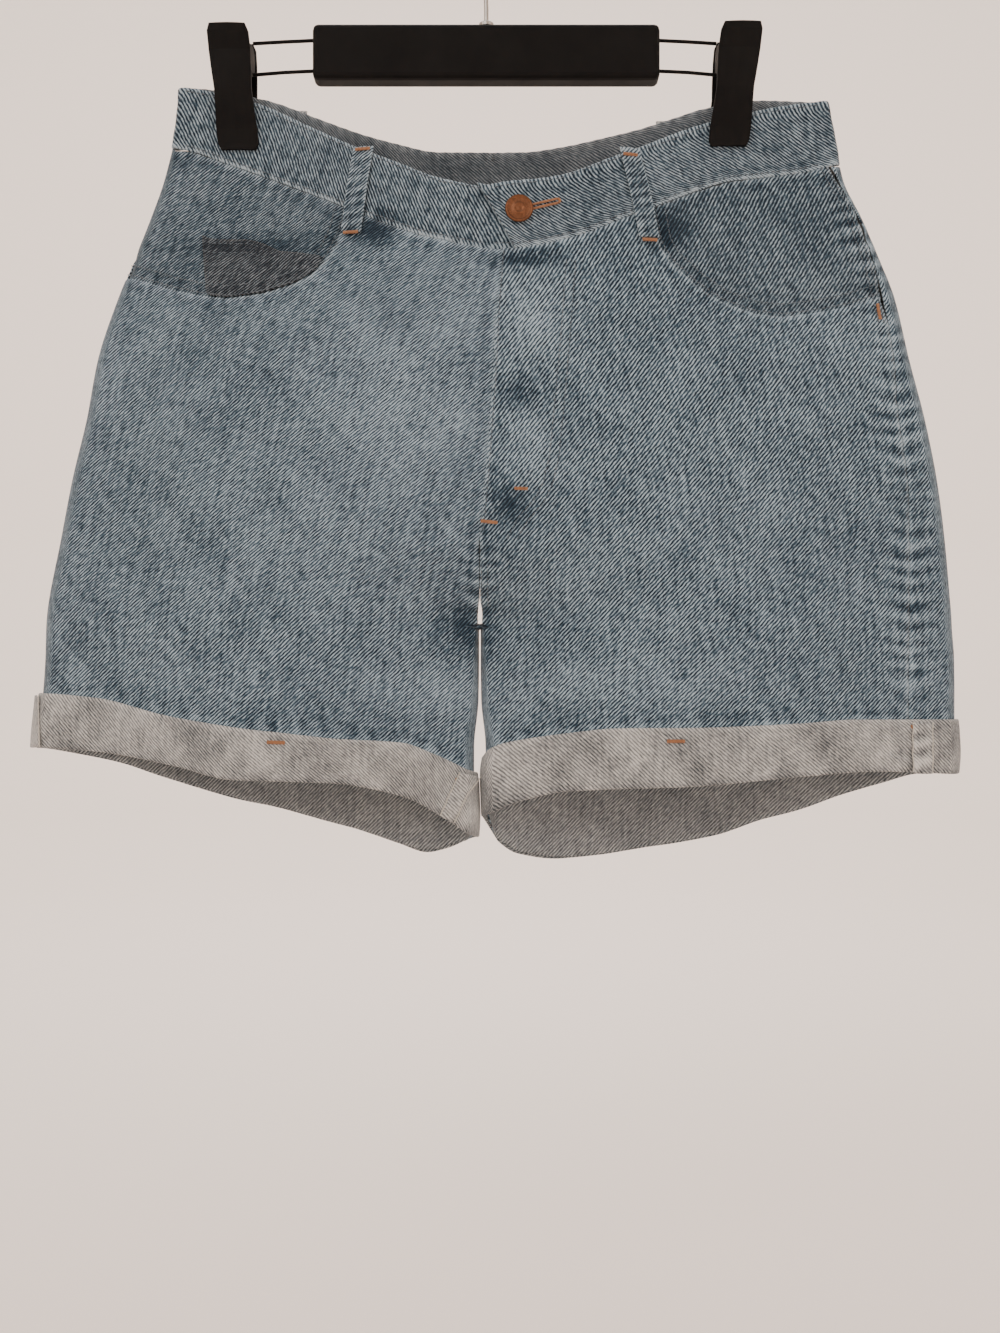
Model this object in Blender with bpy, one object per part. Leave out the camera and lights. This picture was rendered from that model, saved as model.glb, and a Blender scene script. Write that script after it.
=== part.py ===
"""Denim shorts hanging from a clip hanger. All sizes are in millimetres until the last step."""
import math

import bmesh
import bpy
import numpy as np
from mathutils import Matrix, Vector
from mathutils.geometry import delaunay_2d_cdt

MM = 0.001
WALL = 1.2
BAND_WALL = 2.4
CUFF_WALL = 2.4
GAP = 0.3
SPACING = 20.0
CROTCH = -455.0
FOLD_SPAN = 33.0
LEFT, RIGHT = -1, 1

# The hanging shorts in level cuts: height, left fold, right fold, left inner, right inner,
# front depth, back depth, fold radius, inner fold radius, how far the two legs have parted.
CUTS = (
    (-110, -190.0, 209.0, 3.0, 3.0, 17.0, 17.0, 2.2, 0.0, 0.0),
    (-128, -190.6, 211.3, 3.0, 3.0, 17.5, 18.0, 2.2, 0.0, 0.0),
    (-153, -193.5, 216.0, 3.0, 3.0, 18.0, 19.0, 2.4, 0.0, 0.0),
    (-178, -199.3, 221.0, 2.5, 2.5, 19.0, 20.0, 3.2, 0.0, 0.0),
    (-203, -208.0, 233.0, 2.0, 2.0, 20.0, 22.0, 4.0, 0.0, 0.0),
    (-228, -218.0, 243.7, 1.5, 1.5, 21.5, 23.0, 4.6, 0.0, 0.0),
    (-252, -228.0, 253.0, 1.0, 1.0, 22.5, 25.0, 5.2, 0.0, 0.0),
    (-290, -240.5, 262.0, 0.0, 0.0, 24.0, 27.0, 6.0, 0.0, 0.0),
    (-327, -247.5, 271.5, -1.0, -1.0, 25.5, 28.5, 6.4, 0.0, 0.0),
    (-364, -256.3, 279.0, -2.0, -2.0, 26.5, 29.5, 6.6, 0.0, 0.0),
    (-402, -263.5, 284.0, -3.5, -3.5, 27.0, 30.0, 6.6, 0.5, 0.1),
    (-440, -271.0, 287.3, -4.0, -4.0, 27.5, 30.0, 6.6, 0.5, 0.7),
    (-448, -272.0, 288.0, -4.1, -3.9, 27.8, 30.0, 6.6, 0.6, 0.9),
    (-455, -272.5, 288.3, -5.1, -2.9, 28.0, 30.0, 6.6, 1.0, 1.0),
    (-475, -273.0, 289.7, -5.1, -2.9, 28.0, 30.0, 6.4, 3.0, 1.0),
    (-500, -274.8, 290.0, -5.4, -2.6, 28.0, 30.0, 6.2, 4.0, 1.0),
    (-530, -277.5, 290.0, -8.1, 0.1, 28.0, 30.0, 6.0, 5.0, 1.0),
    (-570, -278.0, 290.0, -8.2, 0.2, 28.0, 30.0, 6.0, 5.0, 1.0),
    (-615, -278.0, 290.0, -8.2, 0.2, 28.0, 30.0, 6.0, 5.0, 1.0),
)
# Where each clip squeezes the two faces together: clip's distance from its fold, left then right.
CLIP_REACH = {LEFT: 38.0, RIGHT: 58.0}
SQUEEZE_TOP, SQUEEZE_END, SQUEEZE_FADE = -150.0, -330.0, 105.0

# Lines across the garment: x, height.
BAND_TOP_FRONT = (
    (-192, -121.0), (-184, -121.5), (-158, -127.0), (-139, -132.0), (-109, -146.5), (-77, -163.5),
    (-52, -175.0), (-28, -184.5), (2, -189.5), (9, -188.0), (45, -182.5), (82, -167.0),
    (132, -144.5), (154, -139.0), (173, -134.5), (212, -129.0),
)
BAND_END_FRONT = (
    (-195, -158.5), (-179, -162.0), (-163, -168.0), (-133, -179.0), (-102, -193.0), (-83, -202.0),
    (-68, -209.5), (-43, -219.0), (-24, -223.5), (3, -228.5), (20, -228.5), (41, -224.0),
    (63, -217.5), (87, -206.5), (102, -200.0), (129, -187.5), (151, -180.0), (173, -177.5),
    (195, -174.5), (221, -168.5),
)
BAND_TOP_BACK = (
    (-192, -121.0), (-184, -120.0), (-140, -126.5), (-104, -137.5), (-80, -144.0), (-55, -148.5),
    (-30, -152.5), (21, -152.5), (47, -149.5), (72, -146.0), (96, -142.5), (121, -136.5),
    (133, -133.0), (171, -127.5), (212, -129.0),
)
BAND_END_BACK = (
    (-195, -158.5), (-184, -158.5), (-140, -165.0), (-104, -176.0), (-55, -187.0), (-30, -190.5),
    (21, -190.5), (47, -188.0), (96, -181.0), (133, -172.0), (171, -166.5), (221, -168.5),
)
YOKE_END_BACK = ((-214, -205.0), (-150, -216.0), (-60, -238.0), (8, -252.0), (70, -240.0),
                 (160, -218.0), (238, -205.0))
MOUTH_LEFT = (
    (-84, -203.0), (-87, -215.5), (-94, -230.5), (-104, -242.0), (-117, -248.5), (-137, -253.5),
    (-159, -255.5), (-175, -253.0), (-194, -248.5), (-210, -243.0), (-224, -239.0),
)
MOUTH_RIGHT = (
    (101, -201.5), (104, -221.0), (110, -233.0), (125, -247.0), (142, -258.5), (162, -265.5),
    (181, -267.0), (203, -263.5), (221, -259.5), (243, -252.0),
)
FLY_EDGE = ((9, -230.0), (6, -269.0), (4.5, -303.5), (2, -337.5), (-0.5, -371.5), (-3.5, -402.0))
OUTSEAM_RIGHT = (
    (213, -171.0), (226, -195.0), (236, -220.0), (241, -236.0), (244, -252.0), (248, -270.0),
    (251, -290.0), (252, -322.0), (256, -349.0), (259, -371.0), (259, -415.0), (258, -459.0),
    (257.5, -510.0), (258, -560.0),
)
COIN_POCKET = (
    (-174.5, -215.0), (-168, -217.5), (-145, -218.5), (-135, -222.0), (-125, -227.5),
    (-110, -230.0), (-98, -231.5), (-104.5, -240.6), (-117, -247.0), (-137, -252.0),
    (-159, -254.0), (-171.5, -252.2),
)
CUFF_TOP = {
    LEFT: {
        "front": ((-283, -498.0), (-274, -496.5), (-236, -499.0), (-191, -509.5), (-148, -516.5),
                  (-106, -521.5), (-94, -523.0), (-52, -526.0), (-34, -532.5), (-8, -545.5)),
        "back": ((-283, -498.0), (-233, -506.0), (-184, -522.5), (-133, -535.5), (-81, -549.0),
                 (-39, -560.0), (-8, -546.0)),
    },
    RIGHT: {
        "front": ((0, -536.0), (4, -530.0), (11, -527.0), (45, -521.0), (81, -517.0),
                  (129, -516.5), (189, -514.0), (221, -512.0), (292, -512.5)),
        "back": ((0, -536.0), (8, -552.0), (46, -565.0), (98, -560.0), (150, -551.5),
                 (201, -535.0), (250, -517.0), (292, -512.5)),
    },
}
CUFF_END = {
    LEFT: {
        "front": ((-283, -529.5), (-236, -531.5), (-185, -540.0), (-154, -547.5), (-94, -550.0),
                  (-52, -558.5), (-28, -571.5), (-8, -586.0)),
        "back": ((-283, -529.5), (-233, -541.5), (-209, -550.5), (-184, -559.0), (-159, -566.5),
                 (-133, -572.0), (-107, -579.0), (-81, -585.5), (-55, -593.5), (-39, -598.0),
                 (-26, -595.0), (-8, -586.0)),
    },
    RIGHT: {
        "front": ((0, -573.0), (8, -568.0), (21, -562.5), (51, -555.5), (129, -551.5),
                  (189, -546.0), (234, -543.5), (292, -546.5)),
        "back": ((0, -573.0), (8, -590.0), (21, -598.5), (46, -602.5), (72, -601.0),
                 (98, -597.5), (124, -594.0), (150, -589.0), (176, -579.5), (201, -572.5),
                 (226, -562.5), (250, -554.5), (273, -547.5), (292, -546.5)),
    },
}
# Loops: side, face, x at the top, x at the bottom, width, how far past the band's end.
LOOPS = {
    "belt_loop_front_left": (LEFT, 1, -74.0, -81.0, 12.5, 15.0),
    "belt_loop_front_right": (RIGHT, 1, 87.0, 98.5, 12.5, 19.0),
    "belt_loop_side_left": (LEFT, -1, -118.0, -124.0, 12.5, 10.0),
    "belt_loop_side_right": (RIGHT, -1, 112.0, 117.0, 12.5, 10.0),
    "belt_loop_centre": (RIGHT, -1, 18.0, 18.0, 12.5, 10.0),
}
TAB_LAP = 32.0
BUTTON_AT = (20.0, -205.5)
BUTTON_RADIUS = 8.5
# Back pocket's outline about its own middle: x, height from the top edge.
POCKET_SHAPE = ((-66, 0), (66, 0), (60, -118), (0, -142), (-60, -118))
POCKETS = {"back_pocket_left": (LEFT, -104.0, -262.0), "back_pocket_right": (RIGHT, 118.0, -262.0)}

BAR_HALF, BAR_TOP, BAR_END, BAR_DEPTH = 107.2, -83.5, -117.5, 16.0
ROD_RADIUS = 1.1
ROD_HEIGHTS = ((-91.0, -93.5), (-110.0, -113.0))
# Clips: x of the plate's middle at the top and at the bottom, top height, bottom height.
CLIPS = {"left": (-158.4, -152.9, -87.0, -160.9), "right": (156.8, 149.6, -85.9, -158.6)}
# Clip plate: share of its length, half width, distance of its inner face from the middle plane.
CLIP_PROFILE = (
    (0.00, 11.0, 13.2), (0.06, 12.6, 12.6), (0.20, 12.8, 10.1), (0.36, 12.2, 9.6),
    (0.52, 11.4, 8.8), (0.68, 11.9, 7.0), (0.84, 12.6, 4.9), (0.95, 12.4, 4.1), (1.00, 10.8, 4.0),
)
CLIP_WALL = 2.0
WIRE_RADIUS = 1.4
HOOK_PATH = (
    (0, -80.0), (0, -72.0), (0, -64.0), (2.5, -56.5), (9.5, -50.5), (17.5, -44.0), (23.0, -35.5),
    (24.8, -26.0), (23.0, -16.0), (17.5, -7.5), (9.5, -1.6), (0.0, 1.4), (-10.0, -0.4),
    (-18.5, -6.5), (-23.6, -15.5), (-25.0, -25.0),
)

COLOURS = {
    "denim": (0.16, 0.20, 0.24, 0.0, 0.9),
    "denim_band": (0.12, 0.15, 0.19, 0.0, 0.9),
    "denim_reverse": (0.34, 0.33, 0.31, 0.0, 0.92),
    "copper": (0.30, 0.17, 0.10, 1.0, 0.4),
    "black_plastic": (0.012, 0.011, 0.010, 0.0, 0.5),
    "steel_wire": (0.45, 0.44, 0.42, 1.0, 0.3),
}


def smooth(value):
    value = np.clip(value, 0.0, 1.0)
    return value * value * (3.0 - 2.0 * value)


def curve(rows, at, column=1):
    """A smooth curve through a table's rows, read at the given places."""
    table = np.array(rows, float)
    xs, ys = table[:, 0], table[:, column]
    if xs[0] > xs[-1]:
        xs, ys = xs[::-1], ys[::-1]
    at = np.clip(np.asarray(at, float), xs[0], xs[-1])
    step = np.diff(xs)
    slope = np.diff(ys) / step
    tangent = np.zeros_like(ys)
    tangent[0], tangent[-1] = slope[0], slope[-1]
    same = slope[1:] * slope[:-1] > 0
    mean = 2.0 * slope[1:] * slope[:-1] / np.where(same, slope[1:] + slope[:-1], 1.0)
    tangent[1:-1] = np.where(same, mean, 0.0)
    i = np.clip(np.searchsorted(xs, at, side="right") - 1, 0, len(step) - 1)
    h = step[i]
    t = (at - xs[i]) / h
    a = (1 + 2 * t) * (1 - t) ** 2 * ys[i] + t * (1 - t) ** 2 * h * tangent[i]
    b = t * t * (3 - 2 * t) * ys[i + 1] + t * t * (t - 1) * h * tangent[i + 1]
    return a + b


def cut(side, z):
    """Fold x, width to the middle, fold radius and inner radius of one side at a height."""
    fold = curve(CUTS, z, 1 if side == LEFT else 2)
    inner = curve(CUTS, z, 3 if side == LEFT else 4)
    return fold, np.abs(inner - fold), curve(CUTS, z, 7), curve(CUTS, z, 8)


def swell(v):
    return 1.0 - (1.0 - np.clip(v, 0.0, 1.0)) ** 2.6


def surface(side, u, z):
    """Middle of the cloth. u runs round from the side fold: over the front, under the back."""
    u, z = np.broadcast_arrays(np.asarray(u, float), np.asarray(z, float))
    fold, width, radius, inner = cut(side, z)
    legs = z < CROTCH
    m = np.abs(u)
    whole = FOLD_SPAN + width - radius
    flat_end = np.where(legs, whole - inner, 1e9)
    turn = np.clip(m / FOLD_SPAN, 0, 1) * math.pi / 2
    d = np.where(m < FOLD_SPAN, radius * (1 - np.cos(turn)), radius + m - FOLD_SPAN)
    base = np.where(m < FOLD_SPAN, radius * np.sin(turn), radius)
    end = np.clip((m - flat_end) / FOLD_SPAN, 0, 1) * math.pi / 2
    d = np.where(m > flat_end, width - inner + inner * np.sin(end), d)
    base = np.where(m > flat_end, radius * np.cos(end), base)
    over = (~legs) & (m > whole)
    fold_o, width_o, _, _ = cut(-side, z)
    beyond = np.maximum(m - whole, 0.0)
    reach = np.where(over, width_o - beyond, d)
    v = np.where(over, reach / width_o, d / width)
    clip = np.where(over, CLIP_REACH[-side], CLIP_REACH[side])
    parted = curve(CUTS, z, 9)
    front, back = curve(CUTS, z, 5), curve(CUTS, z, 6)
    depth = np.where(u >= 0, front, back)
    shape = swell(v) * ((1 - parted) + parted * swell(1 - v) * 1.3)
    hold = 1 - smooth((SQUEEZE_TOP - z) / (SQUEEZE_TOP - SQUEEZE_END))
    free = smooth((reach - clip - 14.0) / SQUEEZE_FADE)
    shape = shape * (1 - hold * (1 - free))
    y = base + depth * shape
    x = np.where(over, fold_o + side * reach, fold - side * d)
    return np.stack([x, np.where(u >= 0, -y, y), z], -1)


def normals(side, u, z):
    u, z = np.broadcast_arrays(np.asarray(u, float), np.asarray(z, float))
    along = surface(side, u + 0.7, z) - surface(side, u - 0.7, z)
    up = surface(side, u, z + 0.4) - surface(side, u, z - 0.4)
    found = np.cross(along, up) * -side
    return found / np.maximum(np.linalg.norm(found, axis=-1, keepdims=True), 1e-9)


def around(side, x, z, face=1):
    """u of the place on a face that stands at x."""
    x, z = np.broadcast_arrays(np.asarray(x, float), np.asarray(z, float))
    fold, width, radius, inner = cut(side, z)
    d = np.maximum((fold - x) * side, 0.0)
    turn = np.arccos(np.clip(1 - d / radius, -1, 1)) / (math.pi / 2)
    m = np.where(d < radius, turn * FOLD_SPAN, FOLD_SPAN + d - radius)
    past = np.clip((d - (width - inner)) / np.maximum(inner, 1e-6), 0, 1)
    end = np.arcsin(past) / (math.pi / 2) * FOLD_SPAN
    legs = (z < CROTCH) & (d > width - inner)
    m = np.where(legs, FOLD_SPAN + width - radius - inner + end, m)
    return m * face


def inner_u(side, z, face=1):
    """u at the inner fold of a leg, or at the middle of the garment above the crotch."""
    _, width, radius, inner = cut(side, z)
    whole = FOLD_SPAN + width - radius
    legs = np.asarray(z) < CROTCH
    return face * np.where(legs, whole - inner + FOLD_SPAN, whole)


def material(name):
    found = bpy.data.materials.get(name)
    if found:
        return found
    red, green, blue, metallic, roughness = COLOURS[name]
    made = bpy.data.materials.new(name)
    made.use_nodes = True
    shader = made.node_tree.nodes["Principled BSDF"]
    shader.inputs["Base Color"].default_value = (red, green, blue, 1.0)
    shader.inputs["Metallic"].default_value = metallic
    shader.inputs["Roughness"].default_value = roughness
    made.diffuse_color = (red, green, blue, 1.0)
    return made


def add_object(name, points, faces, look, rounded=True):
    """A closed mesh object, its faces turned outwards."""
    mesh = bpy.data.meshes.new(name)
    mesh.from_pydata([tuple(float(c) * MM for c in p) for p in points], [], faces)
    bm = bmesh.new()
    bm.from_mesh(mesh)
    bmesh.ops.remove_doubles(bm, verts=bm.verts, dist=0.00001)
    bmesh.ops.triangulate(bm, faces=bm.faces)
    if bm.calc_volume(signed=True) < 0:
        bmesh.ops.reverse_faces(bm, faces=bm.faces)
    bm.to_mesh(mesh)
    bm.free()
    for polygon in mesh.polygons:
        polygon.use_smooth = rounded
    mesh.materials.append(material(look))
    made = bpy.data.objects.new(name, mesh)
    bpy.context.scene.collection.objects.link(made)
    return made


def resample(outline, spacing):
    """Points along a closed outline, evenly spread between its corners."""
    found = []
    pairs = zip(outline, outline[1:] + outline[:1])
    for start, end in pairs:
        start, end = np.array(start, float), np.array(end, float)
        count = max(1, int(round(np.linalg.norm(end - start) / spacing)))
        found += [start + (end - start) * k / count for k in range(count)]
    return np.array(found)


def fill(outline, spacing):
    """Triangles that fill a flat outline, with points inside at about the spacing."""
    edge = resample([tuple(p) for p in outline], spacing)
    low, high = edge.min(0), edge.max(0)
    across = np.arange(low[0] + spacing / 2, high[0], spacing)
    down = np.arange(low[1] + spacing / 2, high[1], spacing * 0.95)
    grid = np.array([(a + (spacing / 2 if k % 2 else 0.0), b)
                     for k, b in enumerate(down) for a in across])
    p, q = edge, np.roll(edge, -1, 0)
    span = q - p
    t = ((grid[:, None] - p) * span).sum(-1) / np.maximum((span * span).sum(-1), 1e-9)
    near = p + np.clip(t, 0, 1)[..., None] * span
    away = np.linalg.norm(grid[:, None] - near, axis=-1).min(1)
    points = [Vector(v) for v in np.vstack([edge, grid[away > spacing * 0.45]])]
    ring = list(range(len(edge)))
    out = delaunay_2d_cdt(points, [], [ring], 1, 1e-6)
    return np.array([tuple(v) for v in out[0]]), [tuple(f) for f in out[2]]


def thicken(middle, outward, triangles, wall):
    """Outer and inner skins and the rim between them."""
    count = len(middle)
    points = np.vstack([middle + outward * wall / 2, middle - outward * wall / 2])
    faces = [tuple(f) for f in triangles] + [tuple(v + count for v in f[::-1]) for f in triangles]
    used = {}
    for f in triangles:
        for i, a in enumerate(f):
            b = f[(i + 1) % len(f)]
            used[(a, b)] = used.get((a, b), 0) + 1
    for a, b in used:
        if (b, a) not in used:
            faces.append((b, a, a + count, b + count))
    return points, faces


def panel(name, side, outline, look, lift=0.0, wall=WALL, spacing=SPACING):
    """A cut piece of cloth laid on the garment's form. The outline is in u and height."""
    flat, triangles = fill(outline, spacing)
    u, z = flat[:, 0], flat[:, 1]
    height = lift(u, z) if callable(lift) else np.full(len(u), float(lift))
    outward = normals(side, u, z)
    middle = surface(side, u, z) + outward * height[:, None]
    points, faces = thicken(middle, outward, triangles, wall)
    return add_object(name, points, faces, look)


def strip(name, middle, outward, look, wall, closed):
    """A band of cloth from a grid of points: rows down, stations along."""
    rows, count = middle.shape[:2]
    last = count if closed else count - 1
    quads = []
    for j in range(rows - 1):
        for k in range(last):
            a, b = j * count + k, j * count + (k + 1) % count
            quads.append((a, b, b + count, a + count))
    flat = middle.reshape(-1, 3)
    points, faces = thicken(flat, outward.reshape(-1, 3), quads, wall)
    return add_object(name, points, faces, look)


def on_line(side, line, face=1, inset=0.0, spacing=12.0):
    """A line of x and height as u and height, with extra points along it."""
    xs = np.array([p[0] for p in line], float)
    zs = np.array([p[1] for p in line], float)
    run = np.concatenate([[0], np.cumsum(np.hypot(np.diff(xs), np.diff(zs)))])
    t = np.linspace(0, run[-1], max(2, int(run[-1] / spacing) + 1))
    x, z = np.interp(t, run, xs), np.interp(t, run, zs) + inset
    return list(zip(around(side, x, z, face), z))


def part_of(line, low, high):
    """The share of a line of x and height between two x places, ends included."""
    inner = [p for p in line if low < p[0] < high]
    return [(low, float(curve(line, low))), *inner, (high, float(curve(line, high)))]


def build_front_left():
    mouth = on_line(LEFT, MOUTH_LEFT)
    band = on_line(LEFT, part_of(BAND_END_FRONT, -83.5, 22.0), inset=-3 * GAP)
    fly = [(x + 13.0, z) for x, z in FLY_EDGE[1:-1]]
    fly = [(u, z) for u, z in on_line(LEFT, [(22.0, -234.0), *fly, (8.0, -398.0)])]
    rise = [(float(inner_u(LEFT, z)) - GAP, z) for z in (-404.0, -420.0, -437.0, CROTCH + 0.5)]
    inseam = [(float(inner_u(LEFT, z)) - 1.5, z) for z in (-457.0, -475.0, -500.0, -530.0, -560.0)]
    hem = CUFF_END[LEFT]["front"]
    foot = on_line(LEFT, part_of(hem, -276.0, -12.0)[::-1], inset=1.2)
    outer = [(1.5, -528.0), (1.5, -480.0), (1.5, -420.0), (1.5, -340.0), (1.5, -290.0), (1.5, -242.0)]
    corner = [(float(inner_u(LEFT, -583.0)) - 1.5, -583.0)]
    outline = band + fly[1:] + rise + inseam + corner + foot + outer + mouth[::-1][1:-1]
    panel("front_left", LEFT, outline, "denim")


def fly_lift(u, z):
    edge = around(RIGHT, fly_x(z), z)
    gone = np.asarray(edge) - u
    rise = 1.8 * (1 - smooth((gone - 20.0) / 22.0))
    return np.where(z > -404.0, rise, rise * smooth((z + 424.0) / 20.0))


def fly_x(z):
    heights = np.array([p[1] for p in FLY_EDGE])[::-1]
    return np.interp(z, heights, np.array([p[0] for p in FLY_EDGE])[::-1])


def build_front_right():
    mouth = on_line(RIGHT, MOUTH_RIGHT[:-1] + ((242.0, -252.5),))
    band = on_line(RIGHT, part_of(BAND_END_FRONT, 9.5, 100.5), inset=-5 * GAP)
    fly = on_line(RIGHT, FLY_EDGE[1:])
    rise = [(float(inner_u(RIGHT, z)) - GAP, z) for z in (-407.0, -420.0, -437.0, CROTCH + 0.5)]
    inseam = [(float(inner_u(RIGHT, z)) - 1.5, z) for z in (-457.0, -475.0, -500.0, -530.0, -560.0)]
    hem = CUFF_END[RIGHT]["front"]
    foot = on_line(RIGHT, part_of(hem, 4.0, 257.5), inset=1.2)
    seam = on_line(RIGHT, [(x - GAP, z) for x, z in OUTSEAM_RIGHT[5:-1]][::-1])
    outline = band[::-1] + fly + rise + inseam + foot + seam + mouth[::-1][:-1]
    panel("front_right", RIGHT, outline, "denim", lift=fly_lift)


def facing_lift(mouth):
    def lift(u, z):
        side = LEFT if mouth is MOUTH_LEFT else RIGHT
        x = surface(side, u, z)[..., 0]
        xs = np.array([p[0] for p in mouth])
        zs = np.array([p[1] for p in mouth])
        order = np.argsort(xs)
        over = z - np.interp(x, xs[order], zs[order])
        return -2.4 * (1 - smooth((over - 4.0) / 24.0))
    return lift


def build_facings():
    band = on_line(LEFT, part_of(BAND_END_FRONT, -194.0, -76.0), inset=-2.2 * GAP)
    deep = [(-75, -212), (-78, -228), (-88, -243), (-102, -255), (-120, -262), (-140, -266),
            (-160, -267), (-178, -264), (-198, -259), (-214, -254), (-222.5, -250)]
    low = on_line(LEFT, deep)
    outer = [(1.5, -246.0), (1.5, -225.0), (1.5, -200.0), (1.5, -180.0)]
    panel("pocket_facing_left", LEFT, band + low + outer, "denim", facing_lift(MOUTH_LEFT))
    band = on_line(RIGHT, part_of(BAND_END_FRONT, 92.0, 211.5), inset=-2.2 * GAP)
    deep = [(91, -213), (94, -230), (101, -243), (117, -257), (138, -270), (162, -277.5),
            (182, -279), (206, -275), (226, -271), (243.0, -267)]
    low = on_line(RIGHT, deep)
    seam = on_line(RIGHT, [(x - GAP, z) for x, z in OUTSEAM_RIGHT[1:5]])
    panel("pocket_facing_right", RIGHT, band[::-1] + low + seam[::-1], "denim",
          facing_lift(MOUTH_RIGHT))


def build_coin_pocket():
    lift = facing_lift(MOUTH_LEFT)
    outline = on_line(LEFT, COIN_POCKET + (COIN_POCKET[0],), spacing=9.0)[:-1]
    panel("coin_pocket", LEFT, outline, "denim", lambda u, z: lift(u, z) + 2.1, 1.0, 9.0)


def build_backs():
    for side, name in ((LEFT, "left"), (RIGHT, "right")):
        middle = 8.0
        fold_low = -214.0 if side == LEFT else 238.0
        low, high = (fold_low, middle - GAP / 2) if side == LEFT else (middle + GAP / 2, fold_low)
        yoke = on_line(side, part_of(YOKE_END_BACK, low, high), -1)
        if side == RIGHT:
            yoke = yoke[::-1]
        yoke = yoke[1:]
        band_low, band_high = (-194.5, high) if side == LEFT else (low, 219.5)
        band = on_line(side, part_of(BAND_END_BACK, band_low, band_high), -1, inset=-2.2 * GAP)
        if side == RIGHT:
            band = band[::-1]
        if side == LEFT:
            edge = [(-1.5, -170.0), (-1.5, -185.0), (-1.5, -204.5)]
            upper = [p for p in band if p[0] < -3.0]
            outline = [(-1.5, -160.5)] + upper + yoke[::-1] + edge[::-1][:2]
        else:
            seam = on_line(side, [(x + GAP, z) for x, z in OUTSEAM_RIGHT[:3]])
            seam = [p for p in seam if p[1] > -204.0]
            upper = [(6.0, -170.6)] + [p for p in band if p[0] < -3.0]
            foot = [(float(around(side, 232.2, -204.4)), -204.4), (0.0, -204.6)]
            outline = seam[::-1] + upper + yoke[::-1] + foot[::-1]
        panel(f"yoke_{name}", side, outline, "denim")

        top = [(u, z - GAP) for u, z in yoke]
        rise = []
        for z in (-300.0, -340.0, -380.0, -402.0, -420.0, -437.0, CROTCH + 0.5):
            at = middle + (-4.0 - middle) * smooth((-280.0 - z) / 130.0)
            if z > -405:
                u = float(around(side, at + side * GAP / 2, z, -1))
            else:
                u = float(inner_u(side, z, -1)) + GAP
            rise.append((u, z))
        inseam = [(float(inner_u(side, z, -1)) + 1.5, z)
                  for z in (-457.0, -475.0, -500.0, -530.0, -565.0)]
        hem = CUFF_END[side]["back"]
        if side == LEFT:
            foot = on_line(side, part_of(hem, -276.0, -12.0)[::-1], -1, inset=1.2)
            outer = [(-1.5, z) for z in (-528.0, -480.0, -420.0, -340.0, -290.0, -230.0, -205.2)]
            corner = [(float(inner_u(side, -583.0, -1)) + 1.5, -583.0)]
            outline = top + rise + inseam + corner + foot + outer[:-1]
        else:
            foot = on_line(side, part_of(hem, 5.0, 288.0), -1, inset=1.2)
            seam = on_line(side, [(x + GAP, z) for x, z in OUTSEAM_RIGHT[2:-1]])
            seam = [p for p in seam if p[1] < -205.5] + [(float(around(side, 258.4, -543.0)), -543.0)]
            first = [(float(around(side, 232.6, -204.9)), -204.9), (0.0, -204.9)]
            outline = first + top + rise + inseam + foot + [(0.0, -545.0)] + seam[::-1]
        panel(f"back_{name}", side, outline, "denim")


def build_back_pockets():
    for name, (side, x0, z0) in POCKETS.items():
        lean = -0.10 * side
        corners = [(x0 + x + lean * z * -1, z0 + z - abs(x) * 0.0 + (x * side) * 0.12)
                   for x, z in POCKET_SHAPE]
        outline = on_line(side, corners + [corners[0]], -1, spacing=12.0)[:-1]
        panel(name, side, outline, "denim", WALL / 2 + GAP + 0.5, 1.0)


def settle(side, u, lines, share, z):
    """Height of a place a share of the way from one line to another, at the x it has there."""
    for _ in range(4):
        x = float(surface(side, u, z)[0])
        top, end = float(curve(lines[0], x)), float(curve(lines[1], x))
        z = top + (end - top) * share
    return z


def band_stations():
    """Places round the waist, from under the tab, round the back, to the tab's edge."""
    fine = [-27.0, -20.0, -13.0, -6.5, 0.0, 6.5, 13.0, 20.0, 27.0]
    left_whole = float(inner_u(LEFT, -200.0))
    back_l, back_r = float(inner_u(LEFT, -165.0)), float(inner_u(RIGHT, -165.0))
    start = left_whole + TAB_LAP
    found = [(LEFT, u) for u in np.linspace(start, 34.0, 17)]
    found += [(LEFT, u) for u in fine[::-1]]
    found += [(LEFT, u) for u in np.linspace(-34.0, -back_l, 14)]
    found += [(RIGHT, u) for u in np.linspace(-back_r, -34.0, 15)[1:]]
    found += [(RIGHT, u) for u in fine]
    found += [(RIGHT, u) for u in np.linspace(34.0, float(inner_u(RIGHT, -200.0)), 16)]
    return found


def build_waistband():
    stations = band_stations()
    rows = 4
    middle, outward = [], []
    count = len(stations)
    for j in range(rows):
        share = j / (rows - 1)
        line, facing = [], []
        for k, (side, u) in enumerate(stations):
            lines = (BAND_TOP_FRONT, BAND_END_FRONT) if u >= 0 else (BAND_TOP_BACK, BAND_END_BACK)
            z = settle(side, u, lines, share, -165.0)
            if k == 0 or (k < 5 and u > inner_u(LEFT, -200.0)):
                lift = -1.6
            elif k < 8:
                lift = -1.6 * float(smooth((9 - k) / 4.0))
            else:
                lift = 0.0
            shift = 0.0
            if k > count - 6:
                near = (k - (count - 6)) / 5.0
                lift = 1.6 * float(smooth(near * 1.6))
                shift = (2.0 - 6.0 * share) * near
            line.append(surface(side, u + shift, z) + normals(side, u + shift, z) * lift)
            facing.append(normals(side, u + shift, z))
        middle.append(line)
        outward.append(facing)
    strip("waistband", np.array(middle), np.array(outward), "denim_band", BAND_WALL, False)


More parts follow.
